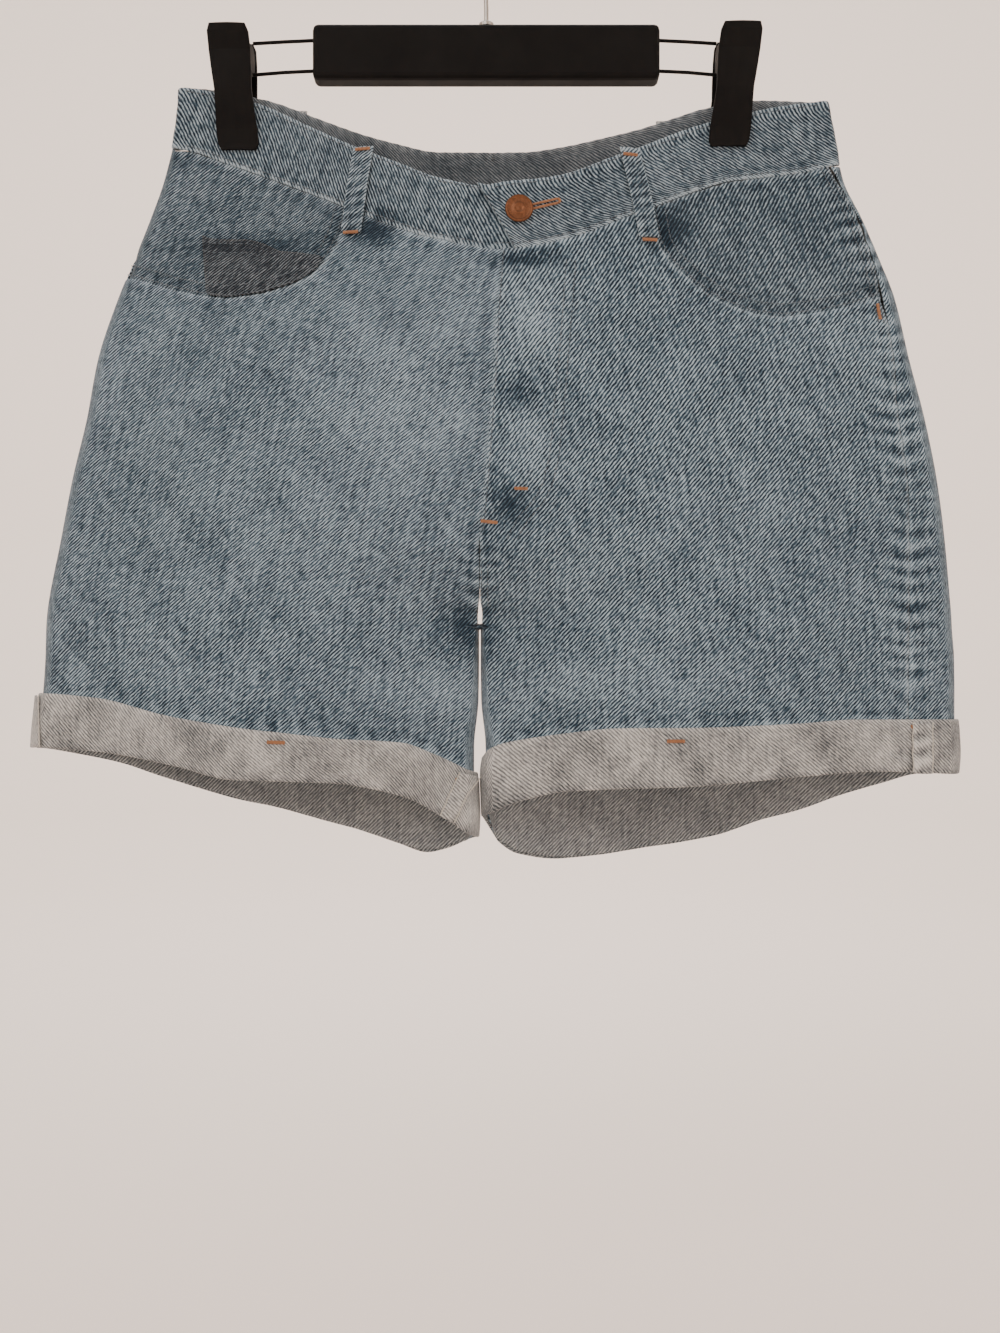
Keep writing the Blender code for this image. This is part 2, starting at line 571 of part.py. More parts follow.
def cuff_stations(side):
    fine = [-27.0, -20.0, -13.0, -6.5, 0.0, 6.5, 13.0, 20.0, 27.0]
    long = [-1.0 + k / 17.0 for k in range(0, 17)]
    found = [("inner", -1.0 + t) for t in (0.0, 0.25, 0.5, 0.75)]
    found += [("flat", t) for t in long]
    found += [("fold", u) for u in fine]
    found += [("flat", -t) for t in long[::-1]]
    found += [("inner", t) for t in (0.25, 0.5, 0.75)]
    return found


def cuff_u(side, station, z):
    kind, t = station
    whole = float(inner_u(side, z))
    inner_start = whole - FOLD_SPAN
    if kind == "fold":
        return t
    if kind == "flat":
        span = inner_start - FOLD_SPAN
        return math.copysign(FOLD_SPAN + abs(t) * span, t)
    if t < 0:
        return -(whole - (1 + t) * FOLD_SPAN)
    return inner_start + t * FOLD_SPAN


def build_cuffs():
    for side, name in ((LEFT, "left"), (RIGHT, "right")):
        stations = cuff_stations(side)
        middle, outward = [], []
        rows = 5
        lift = WALL / 2 + 3 * GAP + CUFF_WALL / 2
        for j in range(rows):
            share = j / (rows - 1)
            line, facing = [], []
            for station in stations:
                u = cuff_u(side, station, -540.0)
                face = "front" if u >= 0 else "back"
                z = settle(side, u, (CUFF_TOP[side][face], CUFF_END[side][face]), share, -540.0)
                u = cuff_u(side, station, z)
                facing.append(normals(side, u, z))
                line.append(surface(side, u, z) + facing[-1] * lift)
            middle.append(line)
            outward.append(facing)
        strip(f"cuff_{name}", np.array(middle), np.array(outward), "denim_reverse", CUFF_WALL, True)


def build_loops():
    for name, (side, face, x_top, x_end, width, past) in LOOPS.items():
        top_line = BAND_TOP_FRONT if face > 0 else BAND_TOP_BACK
        end_line = BAND_END_FRONT if face > 0 else BAND_END_BACK
        top = float(curve(top_line, x_top)) - 0.5
        end = float(curve(end_line, x_end)) - past
        middle, outward = [], []
        for share in np.linspace(0, 1, 9):
            z = top + (end - top) * share
            x = x_top + (x_end - x_top) * share
            bulge = math.sin(math.pi * share) * 1.0
            lift = BAND_WALL / 2 + GAP + 0.75 + bulge
            xs = x + np.linspace(-width / 2, width / 2, 3)
            u = around(side, xs, z, face)
            facing = normals(side, u, np.full(3, z))
            line = surface(side, u, np.full(3, z)) + facing * lift
            middle.append(line)
            outward.append(facing)
        strip(name, np.array(middle), np.array(outward), "denim", 1.4, False)


def turned(name, profile, look, centre, direction, count=28):
    """A round piece from its radius and height profile, set on a direction."""
    axis = Vector(direction).normalized()
    turn = axis.to_track_quat("Z", "Y")
    points, faces = [], []
    for radius, height in profile:
        for k in range(count):
            angle = 2 * math.pi * k / count
            local = Vector((radius * math.cos(angle), radius * math.sin(angle), height))
            points.append(tuple(turn @ local + Vector(centre)))
    rings = len(profile)
    for j in range(rings - 1):
        for k in range(count):
            a, b = j * count + k, j * count + (k + 1) % count
            faces.append((a, b, b + count, a + count))
    faces.append(tuple(range(count))[::-1])
    faces.append(tuple(range((rings - 1) * count, rings * count)))
    return add_object(name, points, faces, look)


def build_button():
    x, z = BUTTON_AT
    u = float(around(RIGHT, x, z))
    facing = normals(RIGHT, u, z)
    base = surface(RIGHT, u, z) + facing * (1.6 + BAND_WALL / 2 + GAP)
    radius = BUTTON_RADIUS
    profile = ((2.6, 0.0), (2.6, 1.0), (radius - 0.6, 1.2), (radius, 1.7), (radius, 2.5),
               (radius - 0.5, 3.0), (radius - 1.3, 3.0), (radius - 1.9, 2.5), (3.4, 2.5),
               (3.0, 2.9), (1.0, 3.1))
    turned("button", profile, "copper", tuple(base), tuple(facing))


def tube(name, path, radius, look, count=12):
    """A round wire along a path of points in space."""
    path = [Vector(p) for p in path]
    points, faces = [], []
    side_axis = Vector((0.0, 1.0, 0.0))
    for k, p in enumerate(path):
        ahead = path[min(k + 1, len(path) - 1)] - path[max(k - 1, 0)]
        ahead.normalize()
        other = ahead.cross(side_axis).normalized()
        for i in range(count):
            angle = 2 * math.pi * i / count
            offset = side_axis * math.cos(angle) + other * math.sin(angle)
            points.append(tuple(p + offset * radius))
    for j in range(len(path) - 1):
        for i in range(count):
            a, b = j * count + i, j * count + (i + 1) % count
            faces.append((a, b, b + count, a + count))
    faces.append(tuple(range(count))[::-1])
    faces.append(tuple(range((len(path) - 1) * count, len(path) * count)))
    return add_object(name, points, faces, look)


def smooth_path(points, steps=4):
    """Catmull-Rom points through the given ones."""
    rows = [np.array(p, float) for p in points]
    rows = [2 * rows[0] - rows[1], *rows, 2 * rows[-1] - rows[-2]]
    found = []
    for a, b, c, d in zip(rows, rows[1:], rows[2:], rows[3:]):
        for k in range(steps):
            t = k / steps
            found.append(0.5 * (2 * b + (c - a) * t + (2 * a - 5 * b + 4 * c - d) * t * t
                                + (3 * b - a - 3 * c + d) * t ** 3))
    found.append(rows[-2])
    return found


def build_hanger():
    bpy.ops.mesh.primitive_cube_add(size=1.0)
    bar = bpy.context.active_object
    bar.name = "hanger_bar"
    bar.data.name = "hanger_bar"
    size = Vector((2 * BAR_HALF, BAR_DEPTH, BAR_TOP - BAR_END)) * MM
    bar.data.transform(scaling(size))
    bar.data.transform(moving((0.0, 0.0, (BAR_TOP + BAR_END) / 2 * MM)))
    bevel = bar.modifiers.new("Rounded edges", "BEVEL")
    bevel.width = 3.5 * MM
    bevel.segments = 3
    bar.data.materials.append(material("black_plastic"))
    for polygon in bar.data.polygons:
        polygon.use_smooth = True
    for label, sign in (("left", -1), ("right", 1)):
        x_top, x_end, top, end = CLIPS[label]
        x_pivot = x_top + (x_end - x_top) * 0.21
        for row, (near, far) in zip(("upper", "lower"), ROD_HEIGHTS):
            path = [(sign * (BAR_HALF + GAP), 0.0, near), (sign * 125.0, 0.0, near - 0.8),
                    (sign * (abs(x_pivot) - 12.0 - GAP), 0.0, far + 0.6)]
            tube(f"rod_{row}_{label}", path, ROD_RADIUS, "black_plastic", 10)
        for face, word in ((-1, "front"), (1, "back")):
            rows_m, rows_n = [], []
            for share, half, inner in CLIP_PROFILE:
                x = x_top + (x_end - x_top) * share
                z = top + (end - top) * share
                line, facing = [], []
                for t in (-1.0, -0.6, 0.0, 0.6, 1.0):
                    bow = 0.9 * (1 - t * t)
                    y = face * (inner + CLIP_WALL / 2 + bow)
                    line.append((x + half * t, y, z))
                    facing.append((0.0, float(face), 0.0))
                rows_m.append(line)
                rows_n.append(facing)
            strip(f"clip_{word}_{label}", np.array(rows_m), np.array(rows_n), "black_plastic",
                  CLIP_WALL, False)
        z = (ROD_HEIGHTS[0][1] + ROD_HEIGHTS[1][1]) / 2
        profile = ((8.6, 0.0), (9.6, 1.0), (9.6, 23.0), (8.6, 24.0))
        turned(f"clip_pivot_{label}", profile, "black_plastic", (x_pivot - 12.0, 0.0, z),
               (1, 0, 0), 24)
    path = [(x, 0.0, z) for x, z in smooth_path(HOOK_PATH, 3)]
    tube("hook", path, WIRE_RADIUS, "steel_wire", 14)
    profile = ((4.2, 0.0), (4.6, 0.5), (4.6, 2.4), (3.6, 3.2))
    turned("hook_collar", profile, "steel_wire", (0.0, 0.0, BAR_TOP + GAP), (0, 0, 1), 20)


def scaling(size):
    return Matrix.Diagonal((*size, 1.0))


def moving(offset):
    return Matrix.Translation(offset)


def main():
    for found in list(bpy.data.objects):
        bpy.data.objects.remove(found, do_unlink=True)
    build_front_left()
    build_front_right()
    build_facings()
    build_coin_pocket()
    build_backs()
    build_back_pockets()
    build_waistband()
    build_cuffs()
    build_loops()
    build_button()
    build_hanger()


main()
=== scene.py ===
"""Denim shorts hanging from a clip hanger: cloth, stitching and finishes over the fixed frame."""
import math

import bpy
import numpy as np
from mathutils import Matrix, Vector
from mathutils.geometry import delaunay_2d_cdt


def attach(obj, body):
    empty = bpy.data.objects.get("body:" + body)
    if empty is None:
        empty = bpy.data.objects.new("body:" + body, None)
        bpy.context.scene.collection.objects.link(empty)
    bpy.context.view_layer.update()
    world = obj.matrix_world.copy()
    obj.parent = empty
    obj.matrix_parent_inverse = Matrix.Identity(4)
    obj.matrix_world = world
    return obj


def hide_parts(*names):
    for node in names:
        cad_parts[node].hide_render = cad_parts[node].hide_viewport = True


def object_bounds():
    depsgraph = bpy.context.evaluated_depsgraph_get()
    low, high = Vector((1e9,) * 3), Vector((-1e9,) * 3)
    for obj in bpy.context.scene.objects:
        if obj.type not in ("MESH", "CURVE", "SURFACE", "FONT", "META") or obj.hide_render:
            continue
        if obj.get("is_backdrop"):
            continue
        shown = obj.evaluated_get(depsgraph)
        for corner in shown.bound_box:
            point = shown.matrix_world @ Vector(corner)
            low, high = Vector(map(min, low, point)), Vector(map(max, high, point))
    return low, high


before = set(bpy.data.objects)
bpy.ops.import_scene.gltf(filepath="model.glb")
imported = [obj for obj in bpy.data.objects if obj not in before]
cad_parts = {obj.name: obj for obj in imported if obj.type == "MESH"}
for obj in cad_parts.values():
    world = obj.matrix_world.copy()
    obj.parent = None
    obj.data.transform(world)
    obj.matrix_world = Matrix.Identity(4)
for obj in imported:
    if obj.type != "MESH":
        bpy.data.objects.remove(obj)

bl_info = {
    "name": "Denim shorts on a clip hanger",
    "version": (1, 0, 0),
    "blender": (4, 5, 0),
    "location": "View3D > Sidebar > Shorts",
    "description": "Builds the cloth, stitching and finishes of a pair of denim shorts",
    "category": "Object",
}

# Sizes are in millimetres until a mesh is made.
MM = 0.001
WALL = 1.2
BAND_WALL = 2.4
CUFF_WALL = 2.4
GAP = 0.3
CROTCH = -455.0
FOLD_SPAN = 33.0
BAND_WIDTH = 38.0
CUFF_WIDTH = 36.0
LEFT, RIGHT = -1, 1

# The hanging shorts in level cuts: height, left fold, right fold, left inner, right inner,
# front depth, back depth, fold radius, inner fold radius, how far the two legs have parted.
CUTS = (
    (-110, -190.0, 209.0, 3.0, 3.0, 17.0, 17.0, 2.2, 0.0, 0.0),
    (-128, -190.6, 211.3, 3.0, 3.0, 17.5, 18.0, 2.2, 0.0, 0.0),
    (-153, -193.5, 216.0, 3.0, 3.0, 18.0, 19.0, 2.4, 0.0, 0.0),
    (-178, -199.3, 221.0, 2.5, 2.5, 19.0, 20.0, 3.2, 0.0, 0.0),
    (-203, -208.0, 233.0, 2.0, 2.0, 20.0, 22.0, 4.0, 0.0, 0.0),
    (-228, -218.0, 243.7, 1.5, 1.5, 21.5, 23.0, 4.6, 0.0, 0.0),
    (-252, -228.0, 253.0, 1.0, 1.0, 22.5, 25.0, 5.2, 0.0, 0.0),
    (-290, -240.5, 262.0, 0.0, 0.0, 24.0, 27.0, 6.0, 0.0, 0.0),
    (-327, -247.5, 271.5, -1.0, -1.0, 25.5, 28.5, 6.4, 0.0, 0.0),
    (-364, -256.3, 279.0, -2.0, -2.0, 26.5, 29.5, 6.6, 0.0, 0.0),
    (-402, -263.5, 284.0, -3.5, -3.5, 27.0, 30.0, 6.6, 0.5, 0.1),
    (-440, -271.0, 287.3, -4.0, -4.0, 27.5, 30.0, 6.6, 0.5, 0.7),
    (-448, -272.0, 288.0, -4.1, -3.9, 27.8, 30.0, 6.6, 0.6, 0.9),
    (-455, -272.5, 288.3, -5.1, -2.9, 28.0, 30.0, 6.6, 1.0, 1.0),
    (-475, -273.0, 289.7, -5.1, -2.9, 28.0, 30.0, 6.4, 3.0, 1.0),
    (-500, -274.8, 290.0, -5.4, -2.6, 28.0, 30.0, 6.2, 4.0, 1.0),
    (-530, -277.5, 290.0, -8.1, 0.1, 28.0, 30.0, 6.0, 5.0, 1.0),
    (-570, -278.0, 290.0, -8.2, 0.2, 28.0, 30.0, 6.0, 5.0, 1.0),
    (-615, -278.0, 290.0, -8.2, 0.2, 28.0, 30.0, 6.0, 5.0, 1.0),
)
# Where each clip squeezes the two faces together: clip's distance from its fold, left then right.
CLIP_REACH = {LEFT: 38.0, RIGHT: 58.0}
SQUEEZE_TOP, SQUEEZE_END, SQUEEZE_FADE = -150.0, -330.0, 105.0
# Where the left clip presses the relief flat: x, half width, lowest height, share taken away.
PRESSED_AT, PRESSED_WIDTH, PRESSED_END, PRESSED_SHARE = -155.0, 22.0, -165.0, 0.8

# Lines across the garment: x, height.
BAND_TOP_FRONT = (
    (-192, -121.0), (-184, -121.5), (-158, -127.0), (-139, -132.0), (-109, -146.5), (-77, -163.5),
    (-52, -175.0), (-28, -184.5), (2, -189.5), (9, -188.0), (45, -182.5), (82, -167.0),
    (132, -144.5), (154, -139.0), (173, -134.5), (212, -129.0),
)
BAND_END_FRONT = (
    (-195, -158.5), (-179, -162.0), (-163, -168.0), (-133, -179.0), (-102, -193.0), (-83, -202.0),
    (-68, -209.5), (-43, -219.0), (-24, -223.5), (3, -228.5), (20, -228.5), (41, -224.0),
    (63, -217.5), (87, -206.5), (102, -200.0), (129, -187.5), (151, -180.0), (173, -177.5),
    (195, -174.5), (221, -168.5),
)
BAND_TOP_BACK = (
    (-192, -121.0), (-184, -120.0), (-140, -126.5), (-104, -137.5), (-80, -144.0), (-55, -148.5),
    (-30, -152.5), (21, -152.5), (47, -149.5), (72, -146.0), (96, -142.5), (121, -136.5),
    (133, -133.0), (171, -127.5), (212, -129.0),
)
BAND_END_BACK = (
    (-195, -158.5), (-184, -158.5), (-140, -165.0), (-104, -176.0), (-55, -187.0), (-30, -190.5),
    (21, -190.5), (47, -188.0), (96, -181.0), (133, -172.0), (171, -166.5), (221, -168.5),
)
YOKE_END_BACK = ((-214, -205.0), (-150, -216.0), (-60, -238.0), (8, -252.0), (70, -240.0),
                 (160, -218.0), (238, -205.0))
MOUTH_LEFT = (
    (-84, -203.0), (-87, -215.5), (-94, -230.5), (-104, -242.0), (-117, -248.5), (-137, -253.5),
    (-159, -255.5), (-175, -253.0), (-194, -248.5), (-210, -243.0), (-224, -239.0),
)
MOUTH_RIGHT = (
    (101, -201.5), (104, -221.0), (110, -233.0), (125, -247.0), (142, -258.5), (162, -265.5),
    (181, -267.0), (203, -263.5), (221, -259.5), (243, -252.0),
)
FLY_EDGE = ((9, -230.0), (6, -269.0), (4.5, -303.5), (2, -337.5), (-0.5, -371.5), (-3.5, -402.0))
OUTSEAM_RIGHT = (
    (213, -171.0), (226, -195.0), (236, -220.0), (241, -236.0), (244, -252.0), (248, -270.0),
    (251, -290.0), (252, -322.0), (256, -349.0), (259, -371.0), (259, -415.0), (258, -459.0),
    (257.5, -510.0), (258, -560.0),
)
COIN_POCKET = (
    (-174.5, -215.0), (-168, -217.5), (-145, -218.5), (-135, -222.0), (-125, -227.5),
    (-110, -230.0), (-98, -231.5), (-104.5, -240.6), (-117, -247.0), (-137, -252.0),
    (-159, -254.0), (-171.5, -252.2),
)
CUFF_TOP = {
    LEFT: {
        "front": ((-283, -498.0), (-274, -496.5), (-236, -499.0), (-191, -509.5), (-148, -516.5),
                  (-106, -521.5), (-94, -523.0), (-52, -526.0), (-34, -532.5), (-8, -545.5)),
        "back": ((-283, -498.0), (-233, -506.0), (-184, -522.5), (-133, -535.5), (-81, -549.0),
                 (-39, -560.0), (-8, -546.0)),
    },
    RIGHT: {
        "front": ((0, -536.0), (4, -530.0), (11, -527.0), (45, -521.0), (81, -517.0),
                  (129, -516.5), (189, -514.0), (221, -512.0), (292, -512.5)),
        "back": ((0, -536.0), (8, -552.0), (46, -565.0), (98, -560.0), (150, -551.5),
                 (201, -535.0), (250, -517.0), (292, -512.5)),
    },
}
CUFF_END = {
    LEFT: {
        "front": ((-283, -529.5), (-236, -531.5), (-185, -540.0), (-154, -547.5), (-94, -550.0),
                  (-52, -558.5), (-28, -571.5), (-8, -586.0)),
        "back": ((-283, -529.5), (-233, -541.5), (-209, -550.5), (-184, -559.0), (-159, -566.5),
                 (-133, -572.0), (-107, -579.0), (-81, -585.5), (-55, -593.5), (-39, -598.0),
                 (-26, -595.0), (-8, -586.0)),
    },
    RIGHT: {
        "front": ((0, -573.0), (8, -568.0), (21, -562.5), (51, -555.5), (129, -551.5),
                  (189, -546.0), (234, -543.5), (292, -546.5)),
        "back": ((0, -573.0), (8, -590.0), (21, -598.5), (46, -602.5), (72, -601.0),
                 (98, -597.5), (124, -594.0), (150, -589.0), (176, -579.5), (201, -572.5),
                 (226, -562.5), (250, -554.5), (273, -547.5), (292, -546.5)),
    },
}
# Loops: side, face, x at the top, x at the bottom, width, how far past the band's end.
LOOPS = {
    "belt_loop_front_left": (LEFT, 1, -74.0, -81.0, 12.5, 15.0),
    "belt_loop_front_right": (RIGHT, 1, 87.0, 98.5, 12.5, 19.0),
    "belt_loop_side_left": (LEFT, -1, -118.0, -124.0, 12.5, 10.0),
    "belt_loop_side_right": (RIGHT, -1, 112.0, 117.0, 12.5, 10.0),
    "belt_loop_centre": (RIGHT, -1, 18.0, 18.0, 12.5, 10.0),
}
# The tab: how far it laps, how far its run-in reaches, how far each layer steps, its height.
TAB_LAP = 32.0
TAB_RUN = 40.0
TAB_STEP = 1.7
TAB_LEVEL = -200.0
BUTTON_AT = (20.0, -205.5)
BUTTON_RADIUS = 8.5
# Back pocket's outline about its own middle: x, height from the top edge.
POCKET_SHAPE = ((-66, 0), (66, 0), (60, -118), (0, -142), (-60, -118))
POCKETS = {"back_pocket_left": (LEFT, -104.0, -262.0), "back_pocket_right": (RIGHT, 118.0, -262.0)}


# Stitched edges that pucker: face, line of x and height, swell, wave length, reach from the seam.
SEAMS = {
    "band": (1, BAND_END_FRONT, 0.42, 9.5, 7.0),
    "mouth_left": (1, MOUTH_LEFT, 0.40, 7.5, 8.0),
    "mouth_right": (1, MOUTH_RIGHT, 0.45, 8.5, 8.0),
    "fly": (1, FLY_EDGE, 0.30, 8.0, 6.0),
    "rise": (1, ((-3.5, -402.0), (-4.0, -430.0), (-4.0, -470.0)), 0.9, 9.0, 9.0),
    "outseam": (1, OUTSEAM_RIGHT, 0.85, 11.0, 15.0),
    "back_rise": (-1, ((8, -190.0), (8, -290.0), (4, -350.0), (-2, -410.0), (-4, -470.0)), 0.6, 9.0, 8.0),
    "yoke": (-1, YOKE_END_BACK, 0.4, 9.0, 8.0),
    "band_back": (-1, BAND_END_BACK, 0.4, 9.5, 7.0),
    "cuff_left": (1, CUFF_TOP[LEFT]["front"], 0.4, 13.0, 7.0),
    "cuff_right": (1, CUFF_TOP[RIGHT]["front"], 0.4, 13.0, 7.0),
}
J_STITCH = (
    (48.5, -235.0), (46.5, -262.0), (44.5, -286.5), (41.5, -320.5), (38.0, -354.5),
    (34.5, -369.5), (29.5, -379.5), (19.5, -391.0), (12.5, -404.0),
)
# Folds, given one by one: face, x and height of both ends, half width, how far they stand out.
CREASES = (
    (1, 10, -296, 40, -276, 5.0, 1.0), (1, 8, -318, 38, -300, 6.0, -1.1),
    (1, 4, -386, 34, -352, 5.0, 1.2), (1, 2, -398, 26, -376, 4.5, -1.2),
    (1, -10, -420, -60, -392, 9.0, 1.2), (1, 4, -424, 62, -398, 9.0, 1.3),
    (1, -8, -446, -82, -430, 11.0, -1.4), (1, 6, -448, 90, -436, 11.0, -1.4),
    (1, -60, -262, -150, -296, 16.0, 1.0), (1, 70, -262, 170, -300, 17.0, 1.1),
    (1, -90, -330, -80, -470, 24.0, 1.3), (1, 120, -320, 128, -480, 26.0, 1.4),
    (1, -200, -300, -214, -470, 16.0, -1.3), (1, 214, -330, 226, -490, 13.0, -1.2),
    (1, -150, -500, -142, -552, 9.0, 1.2), (1, -122, -505, -126, -550, 7.0, -1.1),
    (1, 66, -500, 60, -556, 10.0, 1.3), (1, 40, -505, 34, -560, 8.0, -1.2),
    (1, 170, -500, 176, -548, 10.0, 0.9), (1, -60, -500, -52, -556, 8.0, 0.8),
    (1, -26, -566, -40, -590, 5.0, 1.6), (1, 12, -560, 22, -572, 4.0, 1.2),
    (-1, -60, -280, -150, -340, 18.0, 1.4), (-1, 80, -280, 170, -340, 18.0, 1.4),
    (-1, -20, -440, -120, -470, 14.0, -1.8), (-1, 10, -440, 120, -470, 14.0, -1.8),
    (-1, -150, -420, -140, -590, 20.0, 1.4), (-1, 150, -420, 140, -590, 20.0, 1.4),
)
# Wash and wear, and painted shade: face, x and height of the patch, half widths, how much paler or darker.
WEAR_AND_SHADE = (
    # Painted shade: the dark patches at (20, -316) and (14, -384) lie in the fly's sunken creases.
    (1, 26, -272, 18, 34, 0.13), (1, 24, -345, 16, 34, 0.11), (1, 20, -316, 13, 11, -0.30),
    # Painted shadow: the dark patch at (24, -235) lies under the band's edge by the tab, and those at (112,
    # -214) and (-66, -216) just right of the front belt loops.
    (1, 14, -384, 12, 13, -0.34), (1, 24, -235, 19, 5, -0.42), (1, 112, -214, 12, 10, -0.40),
    (1, -66, -216, 10, 10, -0.45), (1, -60, -340, 50, 70, 0.10), (1, 120, -330, 50, 70, 0.02),
    # Painted shade: the dark band at (-140, -222) lies along the coin pocket's gaping mouth, and the patch at
    # (-10, -460) in the gap at the crotch.
    (1, -140, -222, 46, 8, -0.26), (1, 170, -205, 40, 20, -0.05), (1, -10, -460, 16, 16, -0.25),
    (1, -30, -495, 30, 14, 0.12), (1, 60, -490, 60, 14, 0.10),
    (-1, -100, -330, 60, 60, 0.22), (-1, 110, -330, 60, 60, 0.22), (-1, 8, -420, 30, 20, 0.15),
)


def smooth(value):
    """Eases from 0 to 1 and is held there."""
    value = np.clip(value, 0.0, 1.0)
    return value * value * (3.0 - 2.0 * value)


def curve(rows, at, column=1):
    """A smooth curve through a table's rows, read at the given places."""
    table = np.array(rows, float)
    xs, ys = table[:, 0], table[:, column]
    if xs[0] > xs[-1]:
        xs, ys = xs[::-1], ys[::-1]
    at = np.clip(np.asarray(at, float), xs[0], xs[-1])
    step = np.diff(xs)
    slope = np.diff(ys) / step
    tangent = np.zeros_like(ys)
    tangent[0], tangent[-1] = slope[0], slope[-1]
    same = slope[1:] * slope[:-1] > 0
    mean = 2.0 * slope[1:] * slope[:-1] / np.where(same, slope[1:] + slope[:-1], 1.0)
    tangent[1:-1] = np.where(same, mean, 0.0)
    i = np.clip(np.searchsorted(xs, at, side="right") - 1, 0, len(step) - 1)
    h = step[i]
    t = (at - xs[i]) / h
    a = (1 + 2 * t) * (1 - t) ** 2 * ys[i] + t * (1 - t) ** 2 * h * tangent[i]
    b = t * t * (3 - 2 * t) * ys[i + 1] + t * t * (t - 1) * h * tangent[i + 1]
    return a + b


def cut(side, z):
    """Fold x, width to the middle, fold radius and inner radius of one side at a height."""
    fold = curve(CUTS, z, 1 if side == LEFT else 2)
    inner = curve(CUTS, z, 3 if side == LEFT else 4)
    return fold, np.abs(inner - fold), curve(CUTS, z, 7), curve(CUTS, z, 8)


def swell(v):
    """How far a face has filled out at a share of the way in from its fold."""
    return 1.0 - (1.0 - np.clip(v, 0.0, 1.0)) ** 2.6


def surface(side, u, z):
    """Middle of the cloth. u runs round from the side fold: over the front, under the back."""
    u, z = np.broadcast_arrays(np.asarray(u, float), np.asarray(z, float))
    fold, width, radius, inner = cut(side, z)
    legs = z < CROTCH
    m = np.abs(u)
    whole = FOLD_SPAN + width - radius
    flat_end = np.where(legs, whole - inner, 1e9)
    turn = np.clip(m / FOLD_SPAN, 0, 1) * math.pi / 2
    d = np.where(m < FOLD_SPAN, radius * (1 - np.cos(turn)), radius + m - FOLD_SPAN)
    base = np.where(m < FOLD_SPAN, radius * np.sin(turn), radius)
    end = np.clip((m - flat_end) / FOLD_SPAN, 0, 1) * math.pi / 2
    d = np.where(m > flat_end, width - inner + inner * np.sin(end), d)
    base = np.where(m > flat_end, radius * np.cos(end), base)
    over = (~legs) & (m > whole)
    fold_o, width_o, _, _ = cut(-side, z)
    beyond = np.maximum(m - whole, 0.0)
    reach = np.where(over, width_o - beyond, d)
    v = np.where(over, reach / width_o, d / width)
    clip = np.where(over, CLIP_REACH[-side], CLIP_REACH[side])
    parted = curve(CUTS, z, 9)
    front, back = curve(CUTS, z, 5), curve(CUTS, z, 6)
    depth = np.where(u >= 0, front, back)
    shape = swell(v) * ((1 - parted) + parted * swell(1 - v) * 1.3)
    hold = 1 - smooth((SQUEEZE_TOP - z) / (SQUEEZE_TOP - SQUEEZE_END))
    free = smooth((reach - clip - 14.0) / SQUEEZE_FADE)
    shape = shape * (1 - hold * (1 - free))
    y = base + depth * shape
    x = np.where(over, fold_o + side * reach, fold - side * d)
    return np.stack([x, np.where(u >= 0, -y, y), z], -1)


def normals(side, u, z):
    """The way out from the cloth's plain form."""
    u, z = np.broadcast_arrays(np.asarray(u, float), np.asarray(z, float))
    along = surface(side, u + 0.7, z) - surface(side, u - 0.7, z)
    up = surface(side, u, z + 0.4) - surface(side, u, z - 0.4)
    found = np.cross(along, up) * -side
    return found / np.maximum(np.linalg.norm(found, axis=-1, keepdims=True), 1e-9)


def around(side, x, z, face=1):
    """u of the place on a face that stands at x."""
    x, z = np.broadcast_arrays(np.asarray(x, float), np.asarray(z, float))
    fold, width, radius, inner = cut(side, z)
    d = np.maximum((fold - x) * side, 0.0)
    turn = np.arccos(np.clip(1 - d / radius, -1, 1)) / (math.pi / 2)
    m = np.where(d < radius, turn * FOLD_SPAN, FOLD_SPAN + d - radius)
    past = np.clip((d - (width - inner)) / np.maximum(inner, 1e-6), 0, 1)
    end = np.arcsin(past) / (math.pi / 2) * FOLD_SPAN
    legs = (z < CROTCH) & (d > width - inner)
    m = np.where(legs, FOLD_SPAN + width - radius - inner + end, m)
    return m * face


def inner_u(side, z, face=1):
    """u at the inner fold of a leg, or at the middle of the garment above the crotch."""
    _, width, radius, inner = cut(side, z)
    whole = FOLD_SPAN + width - radius
    legs = np.asarray(z) < CROTCH
    return face * np.where(legs, whole - inner + FOLD_SPAN, whole)


def resample(outline, spacing):
    """Points along a closed outline, evenly spread between its corners."""
    found = []
    pairs = zip(outline, outline[1:] + outline[:1])
    for start, end in pairs:
        start, end = np.array(start, float), np.array(end, float)
        count = max(1, int(round(np.linalg.norm(end - start) / spacing)))
        found += [start + (end - start) * k / count for k in range(count)]
    return np.array(found)


def fill(outline, spacing):
    """Triangles that fill a flat outline, with points inside at about the spacing."""
    edge = resample([tuple(p) for p in outline], spacing)
    low, high = edge.min(0), edge.max(0)
    across = np.arange(low[0] + spacing / 2, high[0], spacing)
    down = np.arange(low[1] + spacing / 2, high[1], spacing * 0.95)
    grid = np.array([(a + (spacing / 2 if k % 2 else 0.0), b)
                     for k, b in enumerate(down) for a in across])
    p, q = edge, np.roll(edge, -1, 0)
    span = q - p
    t = ((grid[:, None] - p) * span).sum(-1) / np.maximum((span * span).sum(-1), 1e-9)
    near = p + np.clip(t, 0, 1)[..., None] * span
    away = np.linalg.norm(grid[:, None] - near, axis=-1).min(1)
    points = [Vector(v) for v in np.vstack([edge, grid[away > spacing * 0.45]])]
    ring = list(range(len(edge)))
    out = delaunay_2d_cdt(points, [], [ring], 1, 1e-6)
    return np.array([tuple(v) for v in out[0]]), [tuple(f) for f in out[2]]


